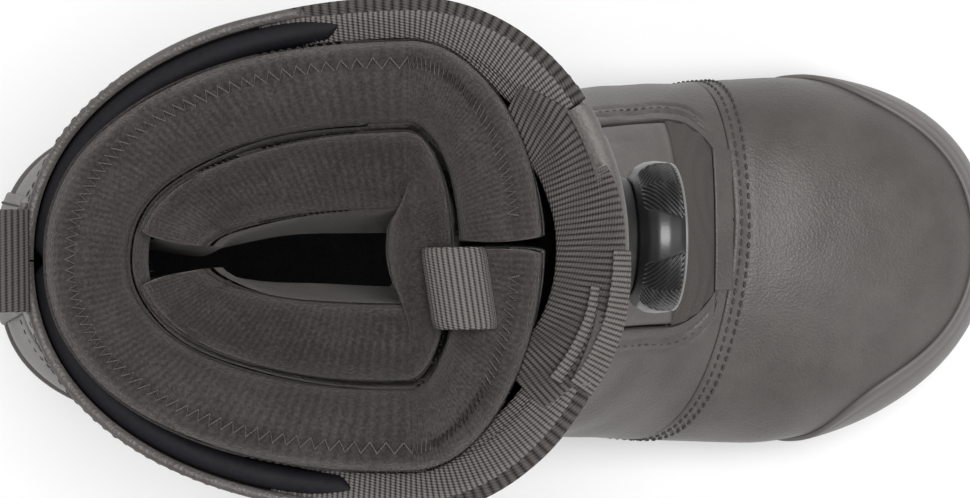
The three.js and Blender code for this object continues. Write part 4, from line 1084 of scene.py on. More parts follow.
def smooth_line(knots, count=160):
    """A smooth line through a few points."""
    knots = np.asarray(knots, float)
    t = np.linspace(0, len(knots) - 1, count)
    i = np.clip(t.astype(int), 0, len(knots) - 2)
    f = (t - i)[:, None]
    a, b = knots[i], knots[i + 1]
    before, after = knots[np.maximum(i - 1, 0)], knots[np.minimum(i + 2, len(knots) - 1)]
    slope_a, slope_b = (b - before) / 2, (after - a) / 2
    return ((2 * f**3 - 3 * f**2 + 1) * a + (f**3 - 2 * f**2 + f) * slope_a
            + (3 * f**2 - 2 * f**3) * b + (f**3 - f**2) * slope_b)


# The wide tape over the roll inside the tongue's top, from flap to flap.
band_middle = smooth_line([(-1.5, 29.5, 284.5), (9.5, 23.0, 286.8), (14.6, 12.5, 288.4), (16.2, 2.0, 288.9),
                           (14.8, -9.5, 288.4), (10.0, -20.0, 286.8), (1.5, -28.0, 284.5)], 220)
band_along = np.gradient(band_middle, axis=0)
band_out = np.stack([band_along[:, 1], -band_along[:, 0], 0 * band_along[:, 0]], -1)
band_out /= np.linalg.norm(band_out, axis=1, keepdims=True)
band_out = np.where(band_out[:, :1] < 0, -band_out, band_out)
BAND_HALF, BAND_SLOPE = 7.4, 0.22
band_wide = BAND_HALF * (band_out * math.cos(BAND_SLOPE) + np.array([0, 0, math.sin(BAND_SLOPE)]))
ribbon("tongue_band", band_middle - (1.0, 0, 0.5), band_wide, "tongue", WIDE_WEBBING,
       thickness=2.2, pitch=1.15, rib=0.5, nodes=["tongue_band"], twist=0.12)

# The flaps' tapes are sewn on across the tongue's edge too, on its lateral side.
for name, half, material, knots in (
    ("tongue_edge_tape", 2.6, TAPE_WEBBING, [
        (21.6, 0.5, 291.7), (21.2, -6.5, 291.8), (19.6, -15.0, 291.3), (16.2, -23.0, 290.3),
        (12.6, -28.4, 289.0)]),
    ("tongue_inner_tape", 1.3, TAPE_WEBBING, [
        (16.0, -6.8, 291.3), (14.6, -13.5, 291.0), (11.4, -20.5, 290.1), (7.4, -26.6, 288.7)]),
):
    middle = smooth_line(knots, 120)
    along = np.gradient(middle, axis=0)
    out = np.stack([-along[:, 1], along[:, 0], 0 * along[:, 0]], -1)
    out /= np.linalg.norm(out, axis=1, keepdims=True)
    tilt = out * 0.93 - np.array([0, 0, 0.36])
    grow = np.linspace(0.75, 1.15, 120)[:, None]
    ribbon(name, middle, half * grow * tilt, "tongue", material, thickness=1.2, pitch=1.1)


# Padded rolls inside the collar: foam under black neoprene round the back, and under dark mesh at the
# flaps.
def neoprene(name, base, low, high):
    made, tree, shader = new_material(name, base, 0.7, Specular_IOR_Level=0.25)
    where = object_coordinates(tree)
    grain = texture(tree, "ShaderNodeTexNoise", where, Scale=900.0, Detail=4.0)
    folds = texture(tree, "ShaderNodeTexNoise", where, Scale=90.0, Detail=3.0)
    tint(tree, shader, grain.outputs["Fac"], low, high)
    under = bump(tree, shader, folds.outputs["Fac"], 0.0012, 0.5)
    bump(tree, shader, grain.outputs["Fac"], 0.0001, 0.5, under)
    return made


NEOPRENE = neoprene("black_neoprene", (0.012, 0.012, 0.015), (0.004, 0.004, 0.006), (0.012, 0.011, 0.015))
DARK_MESH = stretch_cloth("dark_mesh_lining", (0.012, 0.011, 0.011), (0.04, 0.037, 0.036), 1.3)


def collar_roll(name, side, a, b, depth, thick_a, thick_b, body, material, nodes, rise=0.0,
                cells=(46, 130)):
    """A padded roll under the collar's edge from share a to b, as thick as told at each end."""
    p, q = np.meshgrid(spaced(cells[0], 1, 0.04), spaced(cells[1], 1, 0.02), indexing="ij")
    s, u = collar_way(side, p, q, a, b, depth, 0.6 - rise)
    ground = on_last(s, side * u)
    n = outward(ground)
    n[..., 2] *= 0.3
    n /= np.linalg.norm(n, axis=-1, keepdims=True)
    thick = mix(thick_a, thick_b, q)
    across_top = np.sqrt(np.clip(1 - (1 - np.clip((1 - p) * depth / (thick * 0.55), 0, 1)) ** 2.4, 0, 1))
    across_low = np.sqrt(np.clip(p * depth / 12, 0, 1))
    ends = np.sqrt(np.clip(np.minimum(q, 1 - q) * 40, 0, 1))
    folds = 0.3 * np.sin(q * 46 + p * 5) * np.sin(q * 17 + 2) * ease((1 - p) * 3)
    full = across_top * across_low * ends
    top = ground - n * (SHELL_THICKNESS + 0.3 + thick * 0.5 * (1 - full))[..., None]
    low = ground - n * (SHELL_THICKNESS + 0.3 + thick * (0.5 + 0.5 * full) + folds * full)[..., None]
    points, faces = two_skins(top, low)
    uv = np.stack([p * depth, q * 150.0], -1).reshape(-1, 2)
    made = mesh_piece(name, points, faces, material, body, np.concatenate([uv, uv]), nodes)
    return made


BINDING_END = 0.41
COLLAR_DEPTH = 46.0
for side_name, side in SIDES.items():
    collar_roll("collar_pad_" + side_name, side, BINDING_END - 0.02, 0.998, COLLAR_DEPTH, 5.2, 5.2, "shell",
                NEOPRENE, ["collar_pad_" + side_name], rise=1.2)
    collar_roll("collar_roll_" + side_name, side, 0.015, BINDING_END + 0.01, COLLAR_DEPTH, 7.0, 5.4, "shell",
                DARK_MESH, ["collar_binding_" + side_name])
    # Coarse woven trim on the outside, then two ribbed tapes that step down towards the liner.
    trim_f = np.linspace(0.0, 0.5, 200)
    fade = ease((0.5 - trim_f) / 0.12)
    top_s = collar_station(trim_f)
    ground = on_last(top_s, side * across_collar(top_s, side, trim_f))
    inward = -outward(ground)
    inward[:, 2] = 0
    inward /= np.linalg.norm(inward, axis=1, keepdims=True)
    for tape, (reach, drop, wide, slope, material, pitch, rib) in {
        "trim": (3.2, 0.2, 3.2, 0.25, COARSE_WEBBING, 1.9, 0.4),
        "outer_tape": (6.6, 1.0, 4.0, 0.42, TAPE_WEBBING, 1.1, 0.24),
        "inner_tape": (10.6, 3.4, 2.8, 0.6, TAPE_WEBBING, 1.1, 0.22),
    }.items():
        narrow = mix(0.55, 1.0, fade)
        sunk = np.stack([0 * fade, 0 * fade, drop + 1.5 * (1 - fade)], -1)
        middle = ground + inward * (reach * narrow)[:, None] - sunk
        lean = inward * math.cos(slope) - np.array([0, 0, math.sin(slope)])
        ribbon("collar_%s_%s" % (tape, side_name), middle, side * lean * (wide * narrow)[:, None], "shell",
               material, thickness=1.3, pitch=pitch, rib=rib)


# The pull loop on the heel: webbing sewn to the backstay and over the collar's edge.
HEEL_STRAP_HALF = 11.0
collar_back = on_last(collar_station(np.array(1.0)), girth(collar_station(np.array(1.0)), 1.0)[0])


def back_at(drop):
    s = collar_station(np.array(1.0)) - drop
    return on_last(s, girth(s, 1.0)[0])


STRAP_CLEAR = 4.6
heel_low, heel_lower = back_at(32.0), back_at(42.0)
heel_route = smooth_line([
    (collar_back[0] + 2, 0, collar_back[2] + 2.4), (collar_back[0] - 5, 0, collar_back[2] + 4),
    (collar_back[0] - 15, 0, collar_back[2] - 3), (collar_back[0] - 20, 0, collar_back[2] - 18),
    (heel_low[0] - STRAP_CLEAR - 0.4, 0, heel_low[2]),
    (heel_lower[0] - STRAP_CLEAR, 0, heel_lower[2])], 200)
heel_wide = np.tile([0, HEEL_STRAP_HALF, 0.0], (200, 1))
ribbon("heel_pull_strap", heel_route, heel_wide, "shell", WIDE_WEBBING,
       nodes=["heel_pull_strap"])

# The pull loop on the liner's tongue.
brim_station = np.array(height_station(LINER_TOP) - 2.0)
brim = section_point(brim_station, np.array(0.0), 1.0, deeper(liner_inside(brim_station), 1.0, 1.0, 1.0))
loop_route = smooth_line([
    (brim[0] - 5.0, -7, brim[2] + 0.6), (brim[0] - 4.0, -7, brim[2] + 5.6),
    (brim[0] + 0.6, -7, brim[2] + 8.2),
    (brim[0] + 5.6, -7, brim[2] + 6.8), (brim[0] + 7.4, -7, brim[2] + 2.6)], 120)
loop_wide = np.tile([-1.2, 8.5, 0.0], (120, 1))
ribbon("liner_pull_strap", loop_route, loop_wide, "shell", TAPE_WEBBING, thickness=1.4, pitch=1.1,
       rib=0.22, nodes=["liner_pull_strap"])


# ---------------------------------------------------------------- turning dial
# A moulded nylon housing is screwed through the tongue. The knob on it has a glossy over-moulded rubber
# grip, with groups of slanted grooves that change direction round it, and a plain domed face.
DIAL_RADIUS, DIAL_DEPTH, KNOB_BACK, DIAL_HEIGHT = 19.0, 11.5, 6.6, 195.0
HOUSING_RADIUS, HOUSING_WALL, HOUSING_FLOOR, HOUSING_TOP = 14.0, 1.8, 2.4, 6.2
DIAL_TILT = math.radians(8)
dial_seat = on_last(np.array(height_station(DIAL_HEIGHT)), np.array(0.0))
dial_axis = np.array([math.cos(DIAL_TILT), 0, -math.sin(DIAL_TILT)])
dial_side = np.array([0, 1.0, 0])
dial_up = np.cross(dial_axis, dial_side)


def turned(name, profile, body, material, segments=180, relief=None, nodes=()):
    """A piece turned round the dial's axis from (radius, height) points. relief(height, angle, radius)
    cuts into it."""
    profile = np.asarray(profile, float)
    a = np.linspace(0, 2 * math.pi, segments, endpoint=False)
    r = np.repeat(profile[:, :1], segments, axis=1)
    h = np.repeat(profile[:, 1:], segments, axis=1)
    if relief is not None:
        r = r - relief(h, a[None], r)
    ring = np.cos(a)[None, :, None] * dial_side + np.sin(a)[None, :, None] * dial_up
    points = dial_seat + h[..., None] * dial_axis + r[..., None] * ring
    n, rows = segments, len(profile)
    faces = closed_rows(rows, n)
    if abs(profile[0] - profile[-1]).max() > 1e-6 and profile[0, 0] > 0:
        j = np.arange(n)
        k = (j + 1) % n
        faces = np.concatenate([faces, np.stack([(rows - 1) * n + j, (rows - 1) * n + k, k, j], -1)])
    return mesh_piece(name, points, faces, material, body, None, nodes)


def rounded_profile(corners, radius=0.35, steps=4):
    """A closed profile with its corners rounded; ends on the axis stay sharp."""
    corners = np.asarray(corners, float)
    made = []
    for k, corner in enumerate(corners):
        if k in (0, len(corners) - 1):
            made.append(corner)
            continue
        before, after = corners[k - 1] - corner, corners[k + 1] - corner
        reach = min(radius, np.linalg.norm(before) * 0.45, np.linalg.norm(after) * 0.45)
        a = corner + before / np.linalg.norm(before) * reach
        b = corner + after / np.linalg.norm(after) * reach
        for t in np.linspace(0, 1, steps):
            made.append((1 - t) ** 2 * a + 2 * t * (1 - t) * corner + t**2 * b)
    return made


def plastic(name, low, high, roughness, grain=900.0, coat=0.0):
    made, tree, shader = new_material(name, low, roughness, Specular_IOR_Level=0.5)
    shader.inputs["Coat Weight"].default_value = coat
    shader.inputs["Coat Roughness"].default_value = 0.22
    where = object_coordinates(tree)
    cloud = texture(tree, "ShaderNodeTexNoise", where, Scale=120.0, Detail=5.0)
    fine = texture(tree, "ShaderNodeTexNoise", where, Scale=grain * 2, Detail=2.0)
    tint(tree, shader, cloud.outputs["Fac"], low, high)
    rough = math_node(tree, "MULTIPLY_ADD", cloud.outputs["Fac"], 0.2, roughness - 0.1)
    tree.links.new(rough, shader.inputs["Roughness"])
    bump(tree, shader, fine.outputs["Fac"], 0.00006, 0.5)
    return made


HOUSING_PLASTIC = plastic("satin_nylon", (0.016, 0.016, 0.017), (0.03, 0.03, 0.031), 0.42)
KNOB_RUBBER = plastic("glossy_grip_rubber", (0.009, 0.009, 0.01), (0.018, 0.018, 0.019), 0.4, coat=0.45)
FACE_PLASTIC = plastic("face_plastic", (0.02, 0.02, 0.021), (0.04, 0.04, 0.041), 0.3, coat=0.3)
SCREW_RADIUS, SCREW_CLEARANCE = 2.05, 0.35
BOLT_HOLE = SCREW_RADIUS + SCREW_CLEARANCE
cup_radius = HOUSING_RADIUS - HOUSING_WALL
turned("dial_housing", rounded_profile([
    (BOLT_HOLE, -3.2), (HOUSING_RADIUS + 3, -3.2), (HOUSING_RADIUS + 3, 1.2), (HOUSING_RADIUS + 2.1, 2.0),
    (HOUSING_RADIUS + 1.7, 2.0), (HOUSING_RADIUS + 1.5, 2.6), (HOUSING_RADIUS + 1.9, 2.9),
    (HOUSING_RADIUS + 0.6, HOUSING_TOP), (cup_radius, HOUSING_TOP), (cup_radius, HOUSING_FLOOR),
    (BOLT_HOLE, HOUSING_FLOOR), (BOLT_HOLE, -3.2)], 0.4), "tongue", HOUSING_PLASTIC,
    nodes=["dial_housing"])

KNURL_PAIRS, KNURL_PITCH, KNURL_STEP = 4, 1.5, 0.22
knob_front = KNOB_BACK + DIAL_DEPTH


def knurl(h, a, r):
    """Slanted grooves that meet in chevrons, between smooth lands that narrow to the front."""
    pair = a * KNURL_PAIRS / (2 * math.pi)
    share = pair - np.floor(pair)
    away = np.abs(share - 0.5)
    phase = (away * 2 * math.pi / KNURL_PAIRS * DIAL_RADIUS - (h - KNOB_BACK) * 1.25) / KNURL_PITCH
    groove = (0.5 + 0.5 * np.cos(2 * math.pi * phase)) ** 1.3
    along = (h - KNOB_BACK) / (knob_front - KNOB_BACK)
    window = ease((mix(0.24, 0.39, along) - away) / 0.03)
    band = ease((h - KNOB_BACK - 1.0) / 1.2) * ease((knob_front - 0.9 - h) / 0.6)
    return 0.85 * groove * window * band * ease((r - DIAL_RADIUS + 4.5) / 1.5)


knob_inner = cup_radius + 0.4
knob_profile = rounded_profile([
    (0, knob_front - 3), (knob_inner, knob_front - 3), (knob_inner, KNOB_BACK),
    (HOUSING_RADIUS + 0.4, KNOB_BACK), (DIAL_RADIUS - 1.6, KNOB_BACK + 1.9),
    (DIAL_RADIUS - 0.35, KNOB_BACK + 4.2), (DIAL_RADIUS, KNOB_BACK + 6.6),
    (DIAL_RADIUS - 0.3, knob_front - 1.6), (DIAL_RADIUS - 1.0, knob_front - 0.3),
    (DIAL_RADIUS - 2.2, knob_front - 0.05), (DIAL_RADIUS - 5, knob_front - 0.3),
    (DIAL_RADIUS - 5, knob_front - 1.4), (0, knob_front - 1.4)], 0.6, 5)
fine_profile = [knob_profile[0]]
for before, after in zip(knob_profile, knob_profile[1:]):
    steps = int(np.linalg.norm(np.subtract(after, before)) / KNURL_STEP)
    parts = max(1, steps) if before[0] > HOUSING_RADIUS else 1
    fine_profile += [mix(np.asarray(before), np.asarray(after), (k + 1) / parts) for k in range(parts)]
turned("knob_grip", fine_profile, "knob", KNOB_RUBBER, segments=720, relief=knurl,
       nodes=["knob_grip"])
turned("knob_face", rounded_profile([
    (0, knob_front - 1.05), (DIAL_RADIUS - 5.4, knob_front - 1.05), (DIAL_RADIUS - 5.4, knob_front - 0.3),
    (DIAL_RADIUS - 6.4, knob_front - 0.3), (DIAL_RADIUS - 6.8, knob_front - 0.55),
    (DIAL_RADIUS - 7.3, knob_front - 0.1), (6, knob_front + 0.35), (0, knob_front + 0.5)], 0.3),
    "knob", FACE_PLASTIC, nodes=["knob_face"])

# A bright line runs round the rim of the knob: a thin pale tube, whose pale colour is a painted highlight on
# the rim's edge.
rim_angle = np.linspace(0, 2 * math.pi, 241)
rim_ring = np.cos(rim_angle)[:, None] * dial_side + np.sin(rim_angle)[:, None] * dial_up
# Pale grey that stands for the light caught on the rim's edge: painted highlight.
RIM_PAINTED_HIGHLIGHT = plastic("painted_rim_highlight", (0.2, 0.195, 0.19), (0.26, 0.255, 0.25), 0.3)
rim_line = dial_seat + dial_axis * (knob_front - 0.5) + rim_ring * (DIAL_RADIUS - 0.95)
rim_points, rim_faces = tube(rim_line, 0.34, 8)
mesh_piece("knob_rim", rim_points, rim_faces, RIM_PAINTED_HIGHLIGHT, "knob")


# The rest of the closure is hidden: nylon spool, drive disc, backing plate and lace guides, and a steel
# screw. Their CAD solids are exact, so they keep their own form and only take these finishes.
def finish_node(name, material):
    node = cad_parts[name]
    node.data.materials.clear()
    node.data.materials.append(material)


STEEL = new_material("brushed_steel", (0.42, 0.42, 0.43), 0.3, Metallic=1.0)
steel_noise = texture(STEEL[1], "ShaderNodeTexNoise", object_coordinates(STEEL[1]), Scale=800.0, Detail=3.0)
tint(STEEL[1], STEEL[2], steel_noise.outputs["Fac"], (0.34, 0.34, 0.35), (0.5, 0.5, 0.51))
bump(STEEL[1], STEEL[2], steel_noise.outputs["Fac"], 0.00003, 0.6)
NYLON = plastic("moulded_nylon", (0.03, 0.03, 0.031), (0.055, 0.055, 0.057), 0.5)
for name in ("lace_spool", "drive_disc", "shank"):
    finish_node(name, NYLON)
for name in ("dial_backing_plate", *("lace_guide_%s_%d" % (s, k) for s in SIDES for k in (1, 2, 3))):
    finish_node(name, HOUSING_PLASTIC)
finish_node("dial_screw", STEEL[0])


# ---------------------------------------------------------------- toe guard, heel cup and overlays
# The toe is wrapped in smooth moulded rubber, bonded on above the sole. The heel sits in a moulded cup, and
# two leather overlays and a backstay are sewn over the shell's side and rear seams.
def ray(start, direction, farthest=160.0):
    """Where rays from inside the last leave it."""
    near, far = np.zeros(start.shape[:-1]), np.full(start.shape[:-1], farthest)
    for _ in range(34):
        middle = (near + far) / 2
        inside = last_value(start + direction * middle[..., None]) < 0
        near, far = np.where(inside, middle, near), np.where(inside, far, middle)
    return start + direction * near[..., None]


def from_side(x, z, side):
    start = np.stack([x, np.full_like(x, 2.0), z], -1)
    return ray(start, np.broadcast_to([0, float(side), 0], start.shape), 120)


def from_post(x, bearing, z):
    a = np.radians(bearing)
    start = np.stack([np.full_like(z, x), np.full_like(z, 3.0), z], -1)
    return ray(start, np.stack([np.cos(a), np.sin(a), 0 * a], -1))


def smooth_rubber(name, low, high, roughness):
    made, tree, shader = new_material(name, low, roughness, Specular_IOR_Level=0.42)
    where = object_coordinates(tree)
    cloud = texture(tree, "ShaderNodeTexNoise", where, Scale=45.0, Detail=6.0, Roughness=0.6)
    fine = texture(tree, "ShaderNodeTexNoise", where, Scale=2200.0, Detail=3.0)
    scuff = texture(tree, "ShaderNodeTexNoise", where, Scale=260.0, Detail=5.0, Distortion=1.2)
    patches = math_node(tree, "MULTIPLY", cloud.outputs["Fac"], 0.6)
    spread = math_node(tree, "MULTIPLY_ADD", scuff.outputs["Fac"], 0.5, patches)
    tint(tree, shader, spread, low, high)
    rough = math_node(tree, "MULTIPLY_ADD", scuff.outputs["Fac"], 0.22, roughness - 0.1)
    tree.links.new(rough, shader.inputs["Roughness"])
    bump(tree, shader, fine.outputs["Fac"], 0.00007, 0.6)
    return made


TOE_RUBBER = smooth_rubber("toe_rubber", (0.1, 0.092, 0.088), (0.165, 0.153, 0.146), 0.44)
HEEL_PLASTIC = smooth_rubber("heel_cup_plastic", (0.07, 0.065, 0.062), (0.11, 0.102, 0.098), 0.45)
OVERLAY_THICKNESS, BUMPER_THICKNESS, GUARD_FOOT = 1.5, 2.6, 2.0
TOE_POST, TOE_GUARD_SPAN, TOE_GUARD_HEIGHT, TOE_GUARD_END, TOE_GUARD_SHOULDER = 82.0, 88.0, 30.0, 4.5, 0.2
HEEL_POST, HEEL_CUP_SPAN, HEEL_CUP_HEIGHT, BACKSTAY_FOOT = -88.0, 100.0, 62.0, 97.0


def on_toe_guard(p, q):
    bearing = mix(-TOE_GUARD_SPAN, TOE_GUARD_SPAN, q)
    shoulder = 1 + TOE_GUARD_SHOULDER * np.sin(np.radians(bearing)) ** 2
    height = TOE_GUARD_END + TOE_GUARD_HEIGHT * shoulder * (1 - np.abs(2 * q - 1) ** 6)
    return from_post(TOE_POST, bearing, SOLE_TOP + mix(GUARD_FOOT, height, p))


def guard_lift(p, q):
    return -0.35 * np.exp(-(((1 - p) * 34 - 3.4) / 0.5) ** 2)


skin("toe_guard", on_toe_guard, (34, 230), (50, 150), 1.5, "shell", TOE_RUBBER, base=0.05,
     edge=1.2, lift=guard_lift, nodes=["toe_guard"])


def on_heel_cup(p, q):
    bearing = 180 + mix(-HEEL_CUP_SPAN, HEEL_CUP_SPAN, q)
    height = HEEL_CUP_HEIGHT * (1 - 0.5 * np.abs(2 * q - 1) ** 2.2)
    return from_post(HEEL_POST, bearing, SOLE_TOP + mix(GUARD_FOOT, height, p))


def cup_lift(p, q):
    ridge = np.exp(-(((p - 0.72) * 60) / 1.2) ** 2) + np.exp(-(((p - 0.5) * 60) / 1.2) ** 2)
    return -0.7 * ridge * ease((1 - np.abs(2 * q - 1)) / 0.2)


skin("heel_cup", on_heel_cup, (58, 220), (90, 130), BUMPER_THICKNESS, "shell",
     HEEL_PLASTIC, base=0.1, edge=1.6, lift=cup_lift, nodes=["heel_cup"])
OVERLAY_LEATHER = leather("overlay_leather", (0.085, 0.078, 0.073), (0.14, 0.13, 0.122), 0.5)
overlay_lines = []
for side_name, side in SIDES.items():
    def on_overlay(p, q):
        low_x, low_z = mix(-96.0, -8.0, p), mix(92.0, 158.0, ease(p))
        high_x, high_z = mix(-112.0, -14.0, p), mix(126.0, 188.0, ease(p))
        return from_side(mix(low_x, high_x, q), mix(low_z, high_z, q), side)

    skin("ankle_overlay_" + side_name, on_overlay, (118, 33), (90, 44), OVERLAY_THICKNESS + 0.3, "shell",
         OVERLAY_LEATHER, base=0.1, edge=0.9, nodes=["ankle_overlay_" + side_name])
    along = np.linspace(0.02, 0.98, 140)
    for across in (0.08, 0.92):
        points = on_overlay(along, np.full(140, across))
        n = outward(points)
        overlay_lines.append((points + n * (OVERLAY_THICKNESS + 0.45), n))


def on_backstay(p, q):
    return from_post(HEEL_POST + 20, 180 + mix(-14.0, 14.0, q), mix(BACKSTAY_FOOT, COLLAR_REAR - 3, p))


skin("backstay", on_backstay, (174, 34), (120, 40), OVERLAY_THICKNESS + 0.2, "shell",
     OVERLAY_LEATHER, base=0.1, edge=0.9, nodes=["backstay"])
stay_along = np.linspace(0.015, 0.985, 260)
for across in (0.09, 0.91):
    points = on_backstay(stay_along, np.full(260, across))
    n = outward(points)
    overlay_lines.append((points + n * (OVERLAY_THICKNESS + 0.35), n))
rows_of_stitches("overlay_stitches", overlay_lines, "shell", "shell_leather", SHELL_THREAD, pitch=2.8)


# ---------------------------------------------------------------- sole
# A lugged rubber outsole is bonded under a moulded foam midsole, with a nylon shank let into the foam, a
# soft puck under the heel and a fibre board on top, round which the upper is lasted.
SOLE_MARGIN, OUTSOLE_THICKNESS, LUG_HEIGHT, FIT_GAP = 2.2, 8.5, 4.0, 0.35
BOOT_LENGTH, TOE_SPRING = 298.0, 9.0
LUG_PITCH, LUG_LENGTH, LUG_EDGE, LUG_SPLIT, LUG_SLANT = 19.0, 12.0, 3.0, 5.0, 5.0


def outline():
    """The shell's outline at the sole: from the toe's tip down the medial side to the heel."""
    halves = []
    for side in (1, -1):
        toe = np.radians(np.linspace(0, 90, 70)) * side
        start = np.tile([86.0, 6.0, SOLE_TOP + 0.1], (70, 1))
        front = ray(start, np.stack([np.cos(toe), np.sin(toe), 0 * toe], -1))
        x = np.linspace(84, -86, 120)
        flank = from_side(x, np.full(120, SOLE_TOP + 0.1), side)
        heel = np.radians(180 - np.linspace(90, 0, 70)) * side
        start = np.tile([-88.0, 0.0, SOLE_TOP + 0.1], (70, 1))
        rear = ray(start, np.stack([np.cos(heel), np.sin(heel), 0 * heel], -1))
        halves.append(np.concatenate([front, flank, rear])[:, :2])
    return halves[0], halves[1]


OUTLINE_MEDIAL, OUTLINE_LATERAL = outline()
OUTLINE_LOOP = np.concatenate([OUTLINE_MEDIAL, OUTLINE_LATERAL[::-1][1:-1]])


def spring_at(x):
    start = BOOT_LENGTH * 0.3
    return TOE_SPRING * np.maximum((x - start) / (BOOT_LENGTH / 2 - start), 0) ** 2


def sole_ring(margin):
    along = np.roll(OUTLINE_LOOP, -2, axis=0) - np.roll(OUTLINE_LOOP, 2, axis=0)
    along /= np.linalg.norm(along, axis=1, keepdims=True)
    return OUTLINE_LOOP + np.stack([along[:, 1], -along[:, 0]], -1) * np.reshape(margin, (-1, 1))


def plate(name, profile, body, material, relief=None, nodes=(), extra=None):
    """A plate of the sole's outline from (margin, height, share of the toe spring) rings, capped at both
    ends."""
    rings = []
    n = len(OUTLINE_LOOP)
    way = np.arange(n) / n
    for margin, z, follows in profile:
        grown = np.full(n, margin) + (0 if relief is None else relief(way, z, np.full(n, margin)))
        ring = sole_ring(grown)
        rings.append(np.concatenate([ring, (z + follows * spring_at(ring[:, 0]))[:, None]], 1))
    points = np.concatenate(rings)
    faces = [closed_rows(len(rings), n)]
    half = len(OUTLINE_MEDIAL)
    a = np.arange(0, half - 1)
    other = (n - a) % n
    other_next = (n - a - 1) % n
    cap = np.stack([a, other, np.where(a + 1 == half - 1, half - 1, other_next), a + 1], -1)
    faces.append(cap)
    faces.append(cap[:, ::-1] + (len(rings) - 1) * n)
    faces = np.concatenate(faces)
    if extra is not None:
        faces = np.concatenate([faces, extra[1] + len(points)])
        points = np.concatenate([points, extra[0]])
    return mesh_piece(name, points, faces, material, body, None, nodes)


def side_wall(way, z, margin):
    """Moulded grooves along the midsole's side."""
    ends = 0.5 + 0.5 * np.tanh((np.cos(way * 2 * math.pi * 2) - 0.2) * 8)
    return -0.35 * np.abs(np.sin(way * math.pi * 150)) * ends * (10.5 < z < 19.5)


FOAM = smooth_rubber("midsole_foam", (0.03, 0.029, 0.029), (0.06, 0.057, 0.056), 0.75)
SOLE_RUBBER = smooth_rubber("sole_rubber", (0.02, 0.02, 0.02), (0.045, 0.044, 0.043), 0.62)
midsole_low, midsole_high = OUTSOLE_THICKNESS + FIT_GAP, SOLE_TOP - FIT_GAP
foam_rings = [(SOLE_MARGIN - 1.2, midsole_low, 1.0), (SOLE_MARGIN - 0.3, midsole_low + 0.25, 1.0),
              (SOLE_MARGIN, midsole_low + 0.9, 0.95)]
foam_rings += [(SOLE_MARGIN - 0.5 * math.sin((z - 10) / 10 * math.pi), z, 1 - (z - midsole_low) / 14.5)
               for z in np.linspace(10.2, 20.6, 12)]
foam_rings += [(SOLE_MARGIN + 0.1, 21.4, 0.13), (SOLE_MARGIN + 0.2, 22.2, 0.08),
               (SOLE_MARGIN - 0.2, 22.9, 0.02), (SOLE_MARGIN - 1.0, midsole_high, 0.0)]
plate("midsole", foam_rings, "shell", FOAM, relief=side_wall, nodes=["midsole"])


def lug(corners):
    """A lug with a chamfered tread face, from the corners of its top in plan."""
    corners = np.asarray(corners, float)
    centre = corners.mean(0)
    quarters = np.linspace(0, 1, 5)[:-1, None]
    dense = np.concatenate([mix(corners[k], corners[(k + 1) % 4], quarters) for k in range(4)])
    rounded = dense + (centre - dense) * (0.05 * (np.arange(16) % 4 == 0))[:, None]
    rings = []
    for scale, z in ((0.86, 0.0), (0.95, 0.35), (1.0, 1.2), (1.03, 3.0), (1.05, 5.2)):
        ring = centre + (rounded - centre) * scale
        rings.append(np.concatenate([ring, (z + spring_at(ring[:, 0]))[:, None]], 1))
    low = np.array([[*centre, spring_at(centre[:1])[0]], [*centre, 5.2 + spring_at(centre[:1])[0]]])
    points = np.concatenate([*rings, low])
    j = np.arange(16)
    k = (j + 1) % 16
    base = np.stack([np.full(16, 80), k, j, np.full(16, 80)], 1)
    top = np.stack([np.full(16, 81), 64 + j, 64 + k, np.full(16, 81)], 1)
    return points, np.concatenate([closed_rows(5, 16), base, top])


def half_width(x, side):
    half = OUTLINE_MEDIAL if side > 0 else OUTLINE_LATERAL
    order = np.argsort(half[:, 0])
    return np.interp(x, half[order, 0], np.abs(half[order, 1])) + SOLE_MARGIN


lug_points, lug_faces = [], []
for k in range(int((BOOT_LENGTH - 34) / LUG_PITCH)):
    x = -BOOT_LENGTH / 2 + 20 + k * LUG_PITCH
    for side in SIDES.values():
        widths = half_width(x + LUG_SLANT, side), half_width(x + LUG_SLANT + LUG_LENGTH, side)
        outer = min(widths) - LUG_EDGE
        corners = [(x, LUG_SPLIT * side), (x + LUG_LENGTH, LUG_SPLIT * side),
                   (x + LUG_LENGTH + LUG_SLANT, outer * side), (x + LUG_SLANT, outer * side)]
        points, faces = lug(corners if side > 0 else corners[::-1])
        lug_faces.append(faces + sum(len(made) for made in lug_points))
        lug_points.append(points)
outsole_rings = [(SOLE_MARGIN - 1.0, LUG_HEIGHT, 1.0), (SOLE_MARGIN - 0.2, LUG_HEIGHT + 0.3, 1.0),
                 (SOLE_MARGIN, LUG_HEIGHT + 1.1, 1.0), (SOLE_MARGIN, 7.3, 1.0),
                 (SOLE_MARGIN - 0.15, 8.1, 1.0), (SOLE_MARGIN - 0.7, OUTSOLE_THICKNESS, 1.0)]
plate("outsole", outsole_rings, "shell", SOLE_RUBBER, nodes=["outsole"],
      extra=(np.concatenate(lug_points), np.concatenate(lug_faces)))


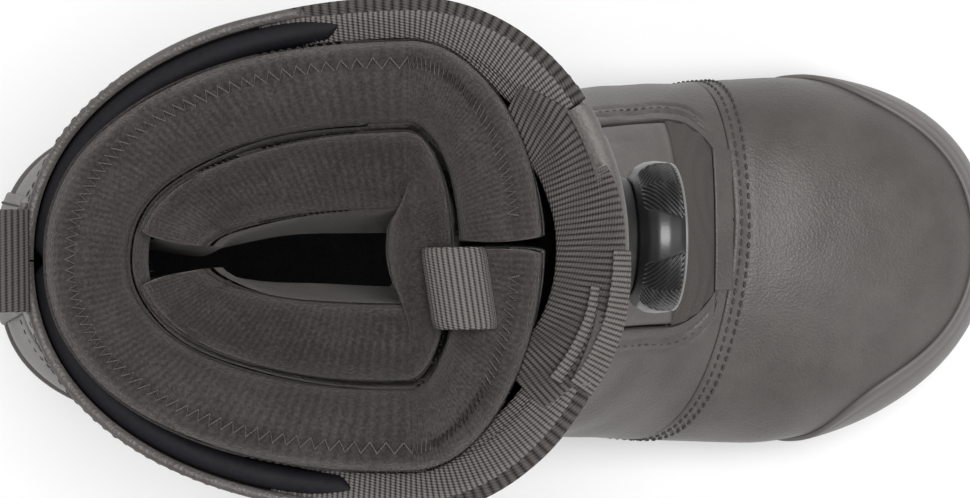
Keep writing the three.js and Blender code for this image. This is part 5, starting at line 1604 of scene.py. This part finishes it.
# The board, the heel puck and the footbed lie out of sight inside the shell.
BOARD, board_tree, board_shader = new_material("pressed_fibre_board", (0.3, 0.24, 0.18), 0.9)
board_where = object_coordinates(board_tree)
board_noise = texture(board_tree, "ShaderNodeTexNoise", board_where, Scale=500.0, Detail=8.0)
tint(board_tree, board_shader, board_noise.outputs["Fac"], (0.2, 0.16, 0.11), (0.42, 0.35, 0.26))
bump(board_tree, board_shader, board_noise.outputs["Fac"], 0.0002, 0.6)
BOARD_MARGIN = SHELL_THICKNESS + 3.6
board_low = SOLE_TOP + FIT_GAP
plate("lasting_board", [(-BOARD_MARGIN - 0.4, board_low, 0), (-BOARD_MARGIN, board_low + 0.4, 0),
                        (-BOARD_MARGIN, board_low + 2.0, 0), (-BOARD_MARGIN - 0.4, board_low + 2.4, 0)],
      "shell", BOARD, nodes=["lasting_board"])
FELT = brushed_knit("footbed_felt", (0.05, 0.05, 0.055), (0.1, 0.1, 0.108))
bed_low = LINER_FLOOR + 3.6 + FIT_GAP
footbed = plate("footbed", [(-12.2, bed_low, 0), (-11.2, bed_low + 0.5, 0), (-11.0, bed_low + 1.6, 0),
                            (-11.4, bed_low + 2.8, 0), (-12.4, bed_low + 3.6, 0), (-14.0, bed_low + 3.9, 0)],
                "shell", FELT, nodes=["footbed"])

PUCK_X, PUCK_RADIUS, PUCK_THICKNESS = -104.0, 24.0, 7.0
puck_profile = rounded_profile([(0, 0), (PUCK_RADIUS, 0), (PUCK_RADIUS, PUCK_THICKNESS),
                                (0, PUCK_THICKNESS)], 1.4, 6)
PUCK_SIDES = 96
puck_turn = np.linspace(0, 2 * math.pi, PUCK_SIDES, endpoint=False)
puck_points = np.array([[PUCK_X + r * math.cos(a), r * math.sin(a), SOLE_TOP - FIT_GAP - PUCK_THICKNESS + h]
                        for r, h in puck_profile for a in puck_turn])
puck_faces = closed_rows(len(puck_profile), PUCK_SIDES)
puck = mesh_piece("heel_cushion", puck_points, puck_faces, FOAM, "shell",
                  nodes=["heel_cushion"])
